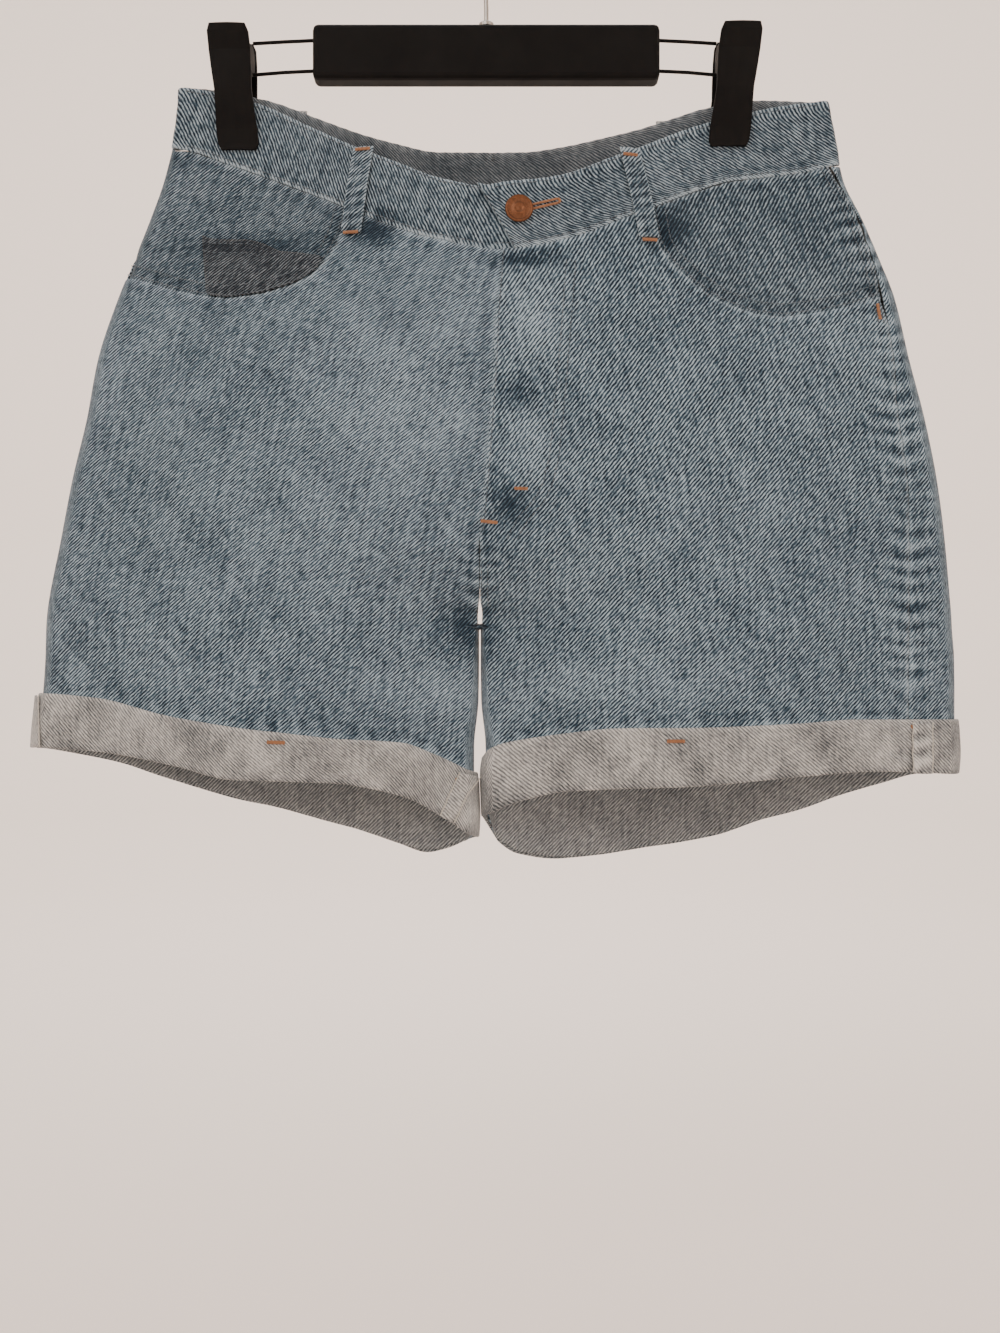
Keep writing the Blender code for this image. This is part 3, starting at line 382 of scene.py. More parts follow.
def on_line(side, line, face=1, inset=0.0, spacing=12.0):
    """A line of x and height as u and height, with extra points along it."""
    xs = np.array([p[0] for p in line], float)
    zs = np.array([p[1] for p in line], float)
    run = np.concatenate([[0], np.cumsum(np.hypot(np.diff(xs), np.diff(zs)))])
    t = np.linspace(0, run[-1], max(2, int(run[-1] / spacing) + 1))
    x, z = np.interp(t, run, xs), np.interp(t, run, zs) + inset
    return list(zip(around(side, x, z, face), z))


def part_of(line, low, high):
    """The share of a line of x and height between two x places, ends included."""
    inner = [p for p in line if low < p[0] < high]
    return [(low, float(curve(line, low))), *inner, (high, float(curve(line, high)))]


def fly_x(z):
    """x of the fly's edge at a height."""
    heights = np.array([p[1] for p in FLY_EDGE])[::-1]
    return np.interp(z, heights, np.array([p[0] for p in FLY_EDGE])[::-1])


def distance_to(line, x, z):
    """Distance to a line of x and height, and how far along it the nearest place is."""
    p = np.array(line, float)
    a, b = p[:-1], p[1:]
    span = b - a
    length = np.hypot(span[:, 0], span[:, 1])
    begin = np.concatenate([[0], np.cumsum(length)[:-1]])
    flat_x, flat_z = x.ravel(), z.ravel()
    best = np.full(flat_x.shape, 1e9)
    run = np.zeros(flat_x.shape)
    for start, step, size, first in zip(a, span, length, begin):
        t = ((flat_x - start[0]) * step[0] + (flat_z - start[1]) * step[1]) / size ** 2
        t = np.clip(t, 0, 1)
        d = np.hypot(flat_x - start[0] - t * step[0], flat_z - start[1] - t * step[1])
        closer = d < best
        best = np.where(closer, d, best)
        run = np.where(closer, first + t * size, run)
    return best.reshape(x.shape), run.reshape(x.shape)


def wander(x, z, size, seed):
    """Soft uneven values from -1 to 1."""
    s = seed * 1.7
    total = np.sin(x / size + s) * np.cos(z / (size * 1.3) - s * 2.1)
    total = total + 0.6 * np.sin((x + z) / (size * 0.61) + s * 3.3)
    total = total + 0.4 * np.cos((x - 1.4 * z) / (size * 0.37) + s * 5.1)
    return total / 2.0


def puckers(face, x, z):
    """Ripples along the stitched edges, from -1 to 1 times each seam's swell."""
    total = np.zeros(x.shape)
    for k, (on_face, line, swell_mm, wave, reach) in enumerate(SEAMS.values()):
        if on_face != face:
            continue
        d, run = distance_to(line, x, z)
        phase = run * 2 * math.pi / wave + 3.4 * wander(run, run * 0.7, wave * 1.9, k)
        strength = np.exp(-(d / reach) ** 2) * (0.6 + 0.5 * wander(run, d, wave * 1.6, k + 9))
        total = total + swell_mm * np.sin(phase + d * 0.12) * strength
    return total


def relief(side, u, z):
    """How far the cloth stands out from its plain form: folds, puckers and slackness."""
    spot = surface(side, u, z)
    x = spot[..., 0]
    total = np.zeros(x.shape)
    for face in (1, -1):
        mine = (u >= 0) if face == 1 else (u < 0)
        if not mine.any():
            continue
        add = 0.55 * wander(x, z, 31.0, 2 if face == 1 else 5) + 0.25 * wander(x, z, 13.0, 7)
        for on_face, x0, z0, x1, z1, width, out in CREASES:
            if on_face == face:
                d, _ = distance_to(((x0, z0), (x1, z1)), x, z)
                add = add + out * np.exp(-(d / width) ** 2)
        add = add + puckers(face, x, z)
        total = np.where(mine, add, total)
    edge = smooth(np.abs(u) / FOLD_SPAN)
    pressed = np.exp(-(((x - PRESSED_AT) / PRESSED_WIDTH) ** 2)) * (z > PRESSED_END)
    held = 1 - PRESSED_SHARE * pressed
    whole = np.abs(inner_u(side, z, 1)) - np.abs(u)
    seam = np.where(z < CROTCH, smooth(whole / FOLD_SPAN), 1.0)
    return total * edge * held * seam


def cloth(side, u, z):
    """The cloth's middle with its relief."""
    u, z = np.broadcast_arrays(np.asarray(u, float), np.asarray(z, float))
    return surface(side, u, z) + normals(side, u, z) * relief(side, u, z)[..., None]


def pale(face_side, u, z):
    """Wash and wear from 0, dark, to 1, bleached, with painted shade in some of the dark patches."""
    spot = surface(face_side, u, z)
    x = spot[..., 0]
    total = 0.5 + 0.05 * wander(x, z, 40.0, 3) + 0.04 * wander(x, z, 9.0, 6)
    for face in (1, -1):
        mine = (u >= 0) if face == 1 else (u < 0)
        add = np.zeros(x.shape)
        for on_face, x0, z0, rx, rz, amount in WEAR_AND_SHADE:
            if on_face == face:
                far = ((x - x0) / rx) ** 2 + ((z - z0) / rz) ** 2
                add = add + amount * np.exp(-far * (1 + 0.3 * wander(x, z, 7.0, 4)))
        add = add + 0.42 * np.clip(puckers(face, x, z), -1, 1)
        for on_face, line, *_ in SEAMS.values():
            if on_face == face:
                d, run = distance_to(line, x, z)
                ridge = np.exp(-(d / 2.0) ** 2) * (0.20 + 0.12 * wander(run, d, 11.0, 8))
                trough = np.exp(-((d - 5.0) / 3.0) ** 2) * 0.05
                add = add + ridge - trough
        total = total + np.where(mine, add, 0.0)
    return np.clip(total, 0, 1)


def srgb(code):
    """A linear colour from its sRGB hex value."""
    parts = [int(code[i:i + 2], 16) / 255 for i in (0, 2, 4)]
    return [c / 12.92 if c <= 0.04045 else ((c + 0.055) / 1.055) ** 2.4 for c in parts] + [1.0]


def put(tree, kind, settings=None, **sockets):
    """Adds a node, gives it its settings, and links or fills its sockets."""
    made = tree.nodes.new(kind)
    for key, value in (settings or {}).items():
        setattr(made, key, value)
    for key, value in sockets.items():
        socket = made.inputs[int(key[1:])] if key[0] == "i" and key[1:].isdigit() else None
        socket = socket or made.inputs[key.replace("_", " ")]
        if isinstance(value, bpy.types.NodeSocket):
            tree.links.new(value, socket)
        else:
            socket.default_value = value
    return made


def start_material(name):
    """A new material with its nodes and its shader."""
    made = bpy.data.materials.new(name)
    made.use_nodes = True
    tree = made.node_tree
    shader = tree.nodes["Principled BSDF"]
    return made, tree, shader


def twill(name, dark, mid, light, lean, contrast=1.6, rough=0.9, wear_and_shade_gain=1.0):
    """Cotton twill. Fine slanting ribs of dyed warp over pale weft, dull, with worn high spots, and painted
    shade where the wear_and_shade attribute darkens it.

    lean is 1 where the ribs rise to the right and -1 where they rise to the left.
    """
    made, tree, shader = start_material(name)
    where = put(tree, "ShaderNodeUVMap", {"uv_map": "cut"})
    turned_by = math.radians(45.0 if lean > 0 else -45.0)
    turned_uv = put(tree, "ShaderNodeVectorRotate", {"rotation_type": "Z_AXIS"},
                    Vector=where.outputs[0], Angle=turned_by)
    # Real ribs are about 0.7 mm apart; drawn 1.7 mm apart so that they show at this distance.
    ribs = put(tree, "ShaderNodeTexWave", {"wave_type": "BANDS", "bands_direction": "X"},
               Vector=turned_uv.outputs[0], Scale=185.0, Distortion=1.6, Detail=2.0,
               Detail_Scale=1.6)
    stretch = put(tree, "ShaderNodeMapping", {}, Vector=turned_uv.outputs[0],
                  Scale=(900.0, 210.0, 1.0))
    yarn = put(tree, "ShaderNodeTexNoise", {}, Vector=stretch.outputs[0], Scale=1.0, Detail=3.0,
               Roughness=0.65)
    slub = put(tree, "ShaderNodeMapping", {}, Vector=where.outputs[0], Scale=(520.0, 34.0, 1.0))
    streak = put(tree, "ShaderNodeTexNoise", {}, Vector=slub.outputs[0], Scale=1.0, Detail=2.0)
    cloud = put(tree, "ShaderNodeTexNoise", {}, Vector=where.outputs[0], Scale=38.0, Detail=5.0,
                Roughness=0.6)
    wear_and_shade = put(tree, "ShaderNodeAttribute", {"attribute_name": "wear_and_shade"})
    total = put(tree, "ShaderNodeMath", {"operation": "MULTIPLY_ADD"}, i0=ribs.outputs["Fac"],
                i1=0.42 * contrast, i2=-0.21 * contrast)
    for source, gain in ((yarn, 0.95 * contrast), (streak, 0.30 * contrast), (cloud, 0.28)):
        part = put(tree, "ShaderNodeMath", {"operation": "MULTIPLY_ADD"},
                   i0=source.outputs["Fac"], i1=gain, i2=-0.5 * gain)
        total = put(tree, "ShaderNodeMath", {"operation": "ADD"}, i0=total.outputs[0],
                    i1=part.outputs[0])
    wear_and_shade_tone = put(tree, "ShaderNodeMath", {"operation": "MULTIPLY_ADD"}, i0=wear_and_shade.outputs["Fac"],
               i1=wear_and_shade_gain, i2=0.5 - 0.5 * wear_and_shade_gain)
    total = put(tree, "ShaderNodeMath", {"operation": "ADD"}, i0=total.outputs[0],
                i1=wear_and_shade_tone.outputs[0])
    ramp = put(tree, "ShaderNodeValToRGB", {}, Fac=total.outputs[0])
    ramp.color_ramp.elements[0].position = 0.08
    ramp.color_ramp.elements[0].color = srgb(dark)
    ramp.color_ramp.elements[1].position = 0.95
    ramp.color_ramp.elements[1].color = srgb(light)
    middle = ramp.color_ramp.elements.new(0.5)
    middle.color = srgb(mid)
    tree.links.new(ramp.outputs["Color"], shader.inputs["Base Color"])
    lift = put(tree, "ShaderNodeMath", {"operation": "ADD"}, i0=ribs.outputs["Fac"],
               i1=yarn.outputs["Fac"])
    bump = put(tree, "ShaderNodeBump", {}, Height=lift.outputs[0], Strength=0.45, Distance=0.0005)
    tree.links.new(bump.outputs["Normal"], shader.inputs["Normal"])
    shader.inputs["Roughness"].default_value = rough
    shader.inputs["IOR"].default_value = 1.45
    shader.inputs["Specular IOR Level"].default_value = 0.25
    shader.inputs["Sheen Weight"].default_value = 0.18
    shader.inputs["Sheen Roughness"].default_value = 0.5
    return made


def thread_material(name, colour, other):
    """Spun polyester thread: a soft sheen and uneven dye along its length."""
    made, tree, shader = start_material(name)
    where = put(tree, "ShaderNodeTexCoord")
    noise = put(tree, "ShaderNodeTexNoise", {}, Vector=where.outputs["Object"], Scale=420.0,
                Detail=2.0)
    mix = put(tree, "ShaderNodeMix", {"data_type": "RGBA"}, i0=noise.outputs["Fac"])
    mix.inputs[6].default_value = srgb(colour)
    mix.inputs[7].default_value = srgb(other)
    tree.links.new(mix.outputs[2], shader.inputs["Base Color"])
    shader.inputs["Roughness"].default_value = 0.6
    shader.inputs["Sheen Weight"].default_value = 0.3
    return made


def plastic_material():
    """Black moulded polypropylene: near black, fine grain, handling marks a little shinier."""
    made, tree, shader = start_material("Black polypropylene, moulded")
    where = put(tree, "ShaderNodeTexCoord")
    grain = put(tree, "ShaderNodeTexNoise", {}, Vector=where.outputs["Object"], Scale=1400.0,
                Detail=2.0)
    rubbed = put(tree, "ShaderNodeTexNoise", {}, Vector=where.outputs["Object"], Scale=45.0,
                 Detail=4.0)
    tone = put(tree, "ShaderNodeMix", {"data_type": "RGBA"}, i0=rubbed.outputs["Fac"])
    tone.inputs[6].default_value = srgb("040303")
    tone.inputs[7].default_value = srgb("0b0908")
    tree.links.new(tone.outputs[2], shader.inputs["Base Color"])
    rough = put(tree, "ShaderNodeMapRange", {}, i0=rubbed.outputs["Fac"], i3=0.75, i4=0.55)
    tree.links.new(rough.outputs[0], shader.inputs["Roughness"])
    bump = put(tree, "ShaderNodeBump", {}, Height=grain.outputs["Fac"], Strength=0.25,
               Distance=0.0002)
    tree.links.new(bump.outputs["Normal"], shader.inputs["Normal"])
    shader.inputs["IOR"].default_value = 1.49
    shader.inputs["Specular IOR Level"].default_value = 0.15
    return made


def metal_material(name, dark, light, rough, scale):
    """Metal with an uneven finish: paler and darker in soft patches, with a matching fine bump."""
    made, tree, shader = start_material(name)
    where = put(tree, "ShaderNodeTexCoord")
    noise = put(tree, "ShaderNodeTexNoise", {}, Vector=where.outputs["Object"], Scale=scale,
                Detail=5.0, Roughness=0.65)
    mix = put(tree, "ShaderNodeMix", {"data_type": "RGBA"}, i0=noise.outputs["Fac"])
    mix.inputs[6].default_value = srgb(dark)
    mix.inputs[7].default_value = srgb(light)
    tree.links.new(mix.outputs[2], shader.inputs["Base Color"])
    bump = put(tree, "ShaderNodeBump", {}, Height=noise.outputs["Fac"], Strength=0.3,
               Distance=0.0003)
    tree.links.new(bump.outputs["Normal"], shader.inputs["Normal"])
    shader.inputs["Metallic"].default_value = 1.0
    shader.inputs["Roughness"].default_value = rough
    return made


# Each finish: how it is made, then its name and colours.
FINISHES = {
    "leg": (twill, "Washed denim, right side", "0b1a28", "3b505f", "aabecb", 1),
    "band": (twill, "Washed denim, waistband", "0a1724", "344856", "a2b3be", -1),
    "coin": (twill, "Dark denim, coin pocket", "0a121b", "222c36", "7d878e", 1),
    "facing": (twill, "Washed denim, pocket facing", "0b1926", "3a4e5c", "a4b5c0", 1),
    "reverse": (twill, "Denim, wrong side", "3c4246", "87898a", "d2d2ce", -1, 1.2),
    # The inside is the wrong side's colour darkened: painted shade on the garment's inner faces.
    "inside": (twill, "Denim, inside", "33393d", "70767a", "b9bcbb", -1, 1.2),
    "band_inside": (twill, "Denim, band lining", "1c242b", "4a535b", "8d959a", 1, 1.1),
    "navy": (thread_material, "Navy topstitch thread", "2c3844", "55626c"),
    "rust": (thread_material, "Rust bartack thread", "7a4a2e", "a9764c"),
    "ecru": (thread_material, "Ecru edge thread", "b9b5aa", "d6d2c8"),
    "copper": (metal_material, "Antique copper", "3b2a20", "8d5f45", 0.42, 900.0),
    "wire": (metal_material, "Zinc plated wire", "8c8a86", "b9b6b0", 0.28, 160.0),
    "plastic": (plastic_material,),
}
LOOKS = {}


def look(name):
    """Each finish is made once."""
    if name not in LOOKS:
        maker, *values = FINISHES[name]
        LOOKS[name] = maker(*values)
    return LOOKS[name]


def add_mesh(name, points, faces, looks, face_look=None, uv=None, wear_and_shade=None):
    """A mesh object from points in millimetres, riding on the one body."""
    mesh = bpy.data.meshes.new(name)
    mesh.from_pydata((np.asarray(points) * MM).tolist(), [], faces)
    for entry in looks:
        mesh.materials.append(look(entry))
    if face_look is not None:
        mesh.polygons.foreach_set("material_index", np.asarray(face_look, np.int32))
    mesh.polygons.foreach_set("use_smooth", np.ones(len(mesh.polygons), bool))
    if uv is not None:
        corner = np.zeros(len(mesh.loops), np.int32)
        mesh.loops.foreach_get("vertex_index", corner)
        layer = mesh.uv_layers.new(name="cut")
        layer.uv.foreach_set("vector", (np.asarray(uv)[corner] * MM).astype(np.float32).ravel())
    if wear_and_shade is not None:
        tone = mesh.attributes.new("wear_and_shade", "FLOAT", "POINT")
        tone.data.foreach_set("value", np.asarray(wear_and_shade, np.float32))
    mesh.update()
    made = bpy.data.objects.new(name, mesh)
    bpy.context.scene.collection.objects.link(made)
    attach(made, "root")
    return made


def rim_of(faces, count):
    """Faces that join the open edges of one skin to those of the skin count points further on."""
    used = set()
    for face in faces:
        for i, a in enumerate(face):
            used.add((a, face[(i + 1) % len(face)]))
    return [(b, a, a + count, b + count) for a, b in used if (b, a) not in used]


def skins(middle, outward, faces, wall, count):
    """Outer skin, inner skin and rim: points, faces and which look each face has."""
    points = np.vstack([middle + outward * wall / 2, middle - outward * wall / 2])
    outer = [tuple(f) for f in faces]
    inner = [tuple(v + count for v in f[::-1]) for f in faces]
    rim = rim_of(faces, count)
    return points, outer + inner + rim, [0] * len(outer) + [1] * len(inner) + [0] * len(rim)


def turn_out(side, faces, flat_points):
    """Winds the faces so that the first skin looks outwards."""
    a, b, c = (np.array(flat_points[faces[0][i]]) for i in range(3))
    positive = np.cross(b - a, c - a) > 0
    wanted = side == LEFT
    return faces if positive == wanted else [f[::-1] for f in faces]


def panel(name, node, side, outline, looks, lift=0.0, wall=WALL, spacing=3.0, tint=0.0,
          cut=None):
    """A cut piece of cloth in fine triangles, laid on the form with its relief."""
    step = spacing * 1.0
    flat, triangles = fill(outline, step)
    u, z = flat[:, 0], flat[:, 1]
    height = lift(u, z) if callable(lift) else np.full(len(u), float(lift))
    outward = normals(side, u, z)
    middle = cloth(side, u, z) + outward * np.asarray(height)[:, None]
    triangles = turn_out(side, triangles, flat)
    count = len(flat)
    points, faces, which = skins(middle, outward, triangles, wall, count)
    uv = np.stack([-side * u, z], -1)
    wear_and_shade = np.clip(pale(side, u, z) + tint, 0, 1)
    made = add_mesh(name, points, faces, looks, which, np.vstack([uv, uv]),
                    np.concatenate([wear_and_shade, wear_and_shade]))
    if node:
        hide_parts(node)
    declare(made, flat, cut)
    return made


def declare(made, flat, cut=None):
    """Reads the piece's triangles and, when no cut size is given, works out its span in u by its height; it
    keeps none of this.

    A panel's span counts each quarter turn at a fold as FOLD_SPAN, which is more than the cloth
    that goes round it, so the span is wider than the cloth.
    """
    mesh = made.data
    points = np.zeros(len(mesh.vertices) * 3)
    mesh.vertices.foreach_get("co", points)
    mesh.calc_loop_triangles()
    corner = np.zeros(len(mesh.loop_triangles) * 3, np.int32)
    mesh.loop_triangles.foreach_get("vertices", corner)
    a, b, c = points.reshape(-1, 3)[corner.reshape(-1, 3)].transpose(1, 0, 2)
    if cut is None:
        low, high = np.min(flat, 0), np.max(flat, 0)
        cut = ((high[0] - low[0]) * MM, (high[1] - low[1]) * MM)


def front_left_outline():
    """The left front, out to the fly's inner lap."""
    mouth = on_line(LEFT, MOUTH_LEFT, spacing=5.0)
    band = on_line(LEFT, part_of(BAND_END_FRONT, -83.5, 22.0), inset=-GAP, spacing=5.0)
    fly = on_line(LEFT, [(22.0, -234.0), *[(x + 13.0, z) for x, z in FLY_EDGE[1:-1]], (8.0, -398.0)])
    rise = [(float(inner_u(LEFT, z)) - GAP, z) for z in (-404.0, -420.0, -437.0, CROTCH + 0.5)]
    inseam = [(float(inner_u(LEFT, z)) - 0.4, z) for z in (-456.0, -475.0, -500.0, -530.0, -560.0)]
    foot = on_line(LEFT, part_of(CUFF_END[LEFT]["front"], -277.0, -9.0)[::-1], inset=1.2)
    outer = [(0.4, z) for z in (-528.0, -480.0, -420.0, -340.0, -290.0, -242.0)]
    corner = [(float(inner_u(LEFT, -583.0)) - 0.4, -583.0)]
    return band + fly[1:] + rise + inseam + corner + foot + outer + mouth[::-1][1:-1]


def front_right_outline():
    """The right front, out to the fly's edge and the side seam."""
    mouth = on_line(RIGHT, MOUTH_RIGHT[:-1] + ((242.0, -252.5),), spacing=5.0)
    band = on_line(RIGHT, part_of(BAND_END_FRONT, 9.5, 100.5), inset=-GAP, spacing=5.0)
    fly = on_line(RIGHT, FLY_EDGE[1:])
    rise = [(float(inner_u(RIGHT, z)) - GAP, z) for z in (-407.0, -420.0, -437.0, CROTCH + 0.5)]
    inseam = [(float(inner_u(RIGHT, z)) - 0.4, z) for z in (-456.0, -475.0, -500.0, -530.0, -560.0)]
    foot = on_line(RIGHT, part_of(CUFF_END[RIGHT]["front"], 3.0, 257.5), inset=1.2)
    seam = on_line(RIGHT, [(x - GAP, z) for x, z in OUTSEAM_RIGHT[5:-1]][::-1])
    return band[::-1] + fly + rise + inseam + foot + seam + mouth[::-1][:-1]


def fly_lift(u, z):
    """The fly's upper layer stands on the lower one, and comes down past the fly's curve."""
    gone = around(RIGHT, fly_x(z), z) - u
    rise = 1.9 * (1 - smooth((gone - 20.0) / 22.0))
    return np.where(z > -404.0, rise, rise * smooth((z + 424.0) / 20.0))


def facing_lift(side, mouth):
    """The facing lies under the panel at the mouth and comes level with it above."""
    def lift(u, z):
        x = surface(side, u, z)[..., 0]
        order = np.argsort([p[0] for p in mouth])
        xs = np.array([p[0] for p in mouth])[order]
        zs = np.array([p[1] for p in mouth])[order]
        over = z - np.interp(x, xs, zs)
        return -1.9 * (1 - smooth((over - 3.0) / 20.0))
    return lift


def coin_gape(u, z):
    """The coin pocket lies on its facing, and its top edge gapes."""
    x = surface(LEFT, u, z)[..., 0]
    return facing_lift(LEFT, MOUTH_LEFT)(u, z) + 2.0 + 1.4 * np.exp(
        -(((x + 112) / 14) ** 2 + ((z + 231) / 7) ** 2))


def facing_outline(side):
    """The facing, a little past the pocket's mouth on every side."""
    if side == LEFT:
        band = on_line(LEFT, part_of(BAND_END_FRONT, -194.0, -76.0), inset=-GAP)
        low = on_line(LEFT, [(-75, -212), (-78, -228), (-88, -243), (-102, -255), (-120, -262),
                             (-140, -266), (-160, -267), (-178, -264), (-198, -259),
                             (-214, -254), (-222.5, -250)])
        return band + low + [(0.4, z) for z in (-246.0, -225.0, -200.0, -180.0)]
    band = on_line(RIGHT, part_of(BAND_END_FRONT, 92.0, 211.5), inset=-GAP)
    low = on_line(RIGHT, [(91, -213), (94, -230), (101, -243), (117, -257), (138, -270),
                          (162, -277.5), (182, -279), (206, -275), (226, -271), (243.0, -267)])
    seam = on_line(RIGHT, [(x - GAP, z) for x, z in OUTSEAM_RIGHT[1:5]])
    return band[::-1] + low + seam[::-1]


def back_outlines(side):
    """The yoke's outline and the back panel's, on the hidden side."""
    middle = 8.0
    if side == LEFT:
        low, high = -214.0, middle - GAP / 2
        yoke = on_line(side, part_of(YOKE_END_BACK, low, high), -1)[1:]
        band = on_line(side, part_of(BAND_END_BACK, -194.5, high), -1, inset=-GAP)
        upper = [p for p in band if p[0] < -3.0]
        first = [(-0.4, -160.5)] + upper + yoke[::-1] + [(-0.4, -204.5), (-0.4, -185.0)]
    else:
        low, high = middle + GAP / 2, 238.0
        yoke = on_line(side, part_of(YOKE_END_BACK, low, high), -1)[::-1][1:]
        band = on_line(side, part_of(BAND_END_BACK, low, 219.5), -1, inset=-GAP)[::-1]
        seam = on_line(side, [(x + GAP, z) for x, z in OUTSEAM_RIGHT[:3]])
        seam = [p for p in seam if p[1] > -204.0]
        upper = [(6.0, -170.6)] + [p for p in band if p[0] < -3.0]
        foot = [(float(around(side, 232.2, -204.4)), -204.4), (0.0, -204.6)]
        first = seam[::-1] + upper + yoke[::-1] + foot[::-1]
    top = [(u, z - GAP) for u, z in yoke]
    rise = []
    for z in (-300.0, -340.0, -380.0, -402.0, -420.0, -437.0, CROTCH + 0.5):
        at = middle + (-4.0 - middle) * smooth((-280.0 - z) / 130.0)
        if z > -405:
            u = float(around(side, at + side * GAP / 2, z, -1))
        else:
            u = float(inner_u(side, z, -1)) + GAP
        rise.append((u, z))
    inseam = [(float(inner_u(side, z, -1)) + 0.4, z) for z in (-456.0, -475.0, -500.0, -530.0, -565.0)]
    hem = CUFF_END[side]["back"]
    if side == LEFT:
        foot = on_line(side, part_of(hem, -277.0, -9.0)[::-1], -1, inset=1.2)
        outer = [(-0.4, z) for z in (-528.0, -480.0, -420.0, -340.0, -290.0, -230.0)]
        corner = [(float(inner_u(side, -583.0, -1)) + 0.4, -583.0)]
        return first, top + rise + inseam + corner + foot + outer
    foot = on_line(side, part_of(hem, 3.0, 289.0), -1, inset=1.2)
    seam = on_line(side, [(x + GAP, z) for x, z in OUTSEAM_RIGHT[2:-1]])
    seam = [p for p in seam if p[1] < -205.5] + [(float(around(side, 258.4, -543.0)), -543.0)]
    start = [(float(around(side, 232.6, -204.9)), -204.9), (0.0, -204.9)]
    return first, start + top + rise + inseam + foot + [(0.0, -545.0)] + seam[::-1]


def rounded_rows(count, span, edge):
    """Shares across a strip, crowded at its two edges so that they can be rounded."""
    near = [0.0, 0.12, 0.35, 0.65, 1.0]
    low = [edge * t / span for t in near]
    inside = list(np.linspace(edge / span, 1 - edge / span, count)[1:-1])
    return low + inside + [1 - t for t in low[::-1]]


def strip(name, node, middle, outward, uv, wear_and_shade, looks, wall, shares, span, closed, cut):
    """A band of double cloth: skins that round over at both long edges."""
    rows, count = middle.shape[:2]
    shares = np.array(shares)
    from_edge = np.minimum(shares, 1 - shares) * span
    t = np.clip(from_edge / (wall / 2), 0, 1)
    half = np.maximum(np.sqrt(1 - (1 - t) ** 2), 0.06) * wall / 2
    push = outward * half[:, None, None]
    points = np.vstack([(middle + push).reshape(-1, 3), (middle - push).reshape(-1, 3)])
    last = count if closed else count - 1
    outer = [(j * count + k, j * count + (k + 1) % count, (j + 1) * count + (k + 1) % count,
              (j + 1) * count + k) for j in range(rows - 1) for k in range(last)]
    total = rows * count
    inner = [tuple(v + total for v in f[::-1]) for f in outer]
    rim = rim_of(outer, total)
    a, b, c = (points[outer[len(outer) // 2][i]] for i in range(3))
    facing = outward.reshape(-1, 3)[outer[len(outer) // 2][0]]
    faces = outer + inner + rim
    if np.dot(np.cross(b - a, c - a), facing) < 0:
        faces = [f[::-1] for f in faces]
    which = [0] * len(outer) + [1] * len(inner) + [0] * len(rim)
    flat_uv = uv.reshape(-1, 2)
    flat_wear = wear_and_shade.reshape(-1)
    made = add_mesh(name, points, faces, looks, which, np.vstack([flat_uv, flat_uv]),
                    np.concatenate([flat_wear, flat_wear]))
    if node:
        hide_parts(node)
    declare(made, None, cut)
    return made


def spread(start, end, step):
    """Evenly spaced values, both ends included."""
    return list(np.linspace(start, end, max(2, int(abs(end - start) / step) + 1)))


def band_path():
    """Stations round the waist: side and u, from under the tab to the tab's edge."""
    left, right = float(inner_u(LEFT, TAB_LEVEL)), float(inner_u(RIGHT, TAB_LEVEL))
    back_left, back_right = float(inner_u(LEFT, -165.0)), float(inner_u(RIGHT, -165.0))
    found = [(LEFT, u) for u in spread(left + TAB_LAP, FOLD_SPAN, 2.2)]
    found += [(LEFT, u) for u in spread(FOLD_SPAN, -FOLD_SPAN, 3.0)[1:]]
    found += [(LEFT, u) for u in spread(-FOLD_SPAN, -back_left, 2.2)[1:]]
    found += [(RIGHT, u) for u in spread(-back_right, -FOLD_SPAN, 2.2)[1:]]
    found += [(RIGHT, u) for u in spread(-FOLD_SPAN, FOLD_SPAN, 3.0)[1:]]
    found += [(RIGHT, u) for u in spread(FOLD_SPAN, right, 2.2)[1:]]
    return found


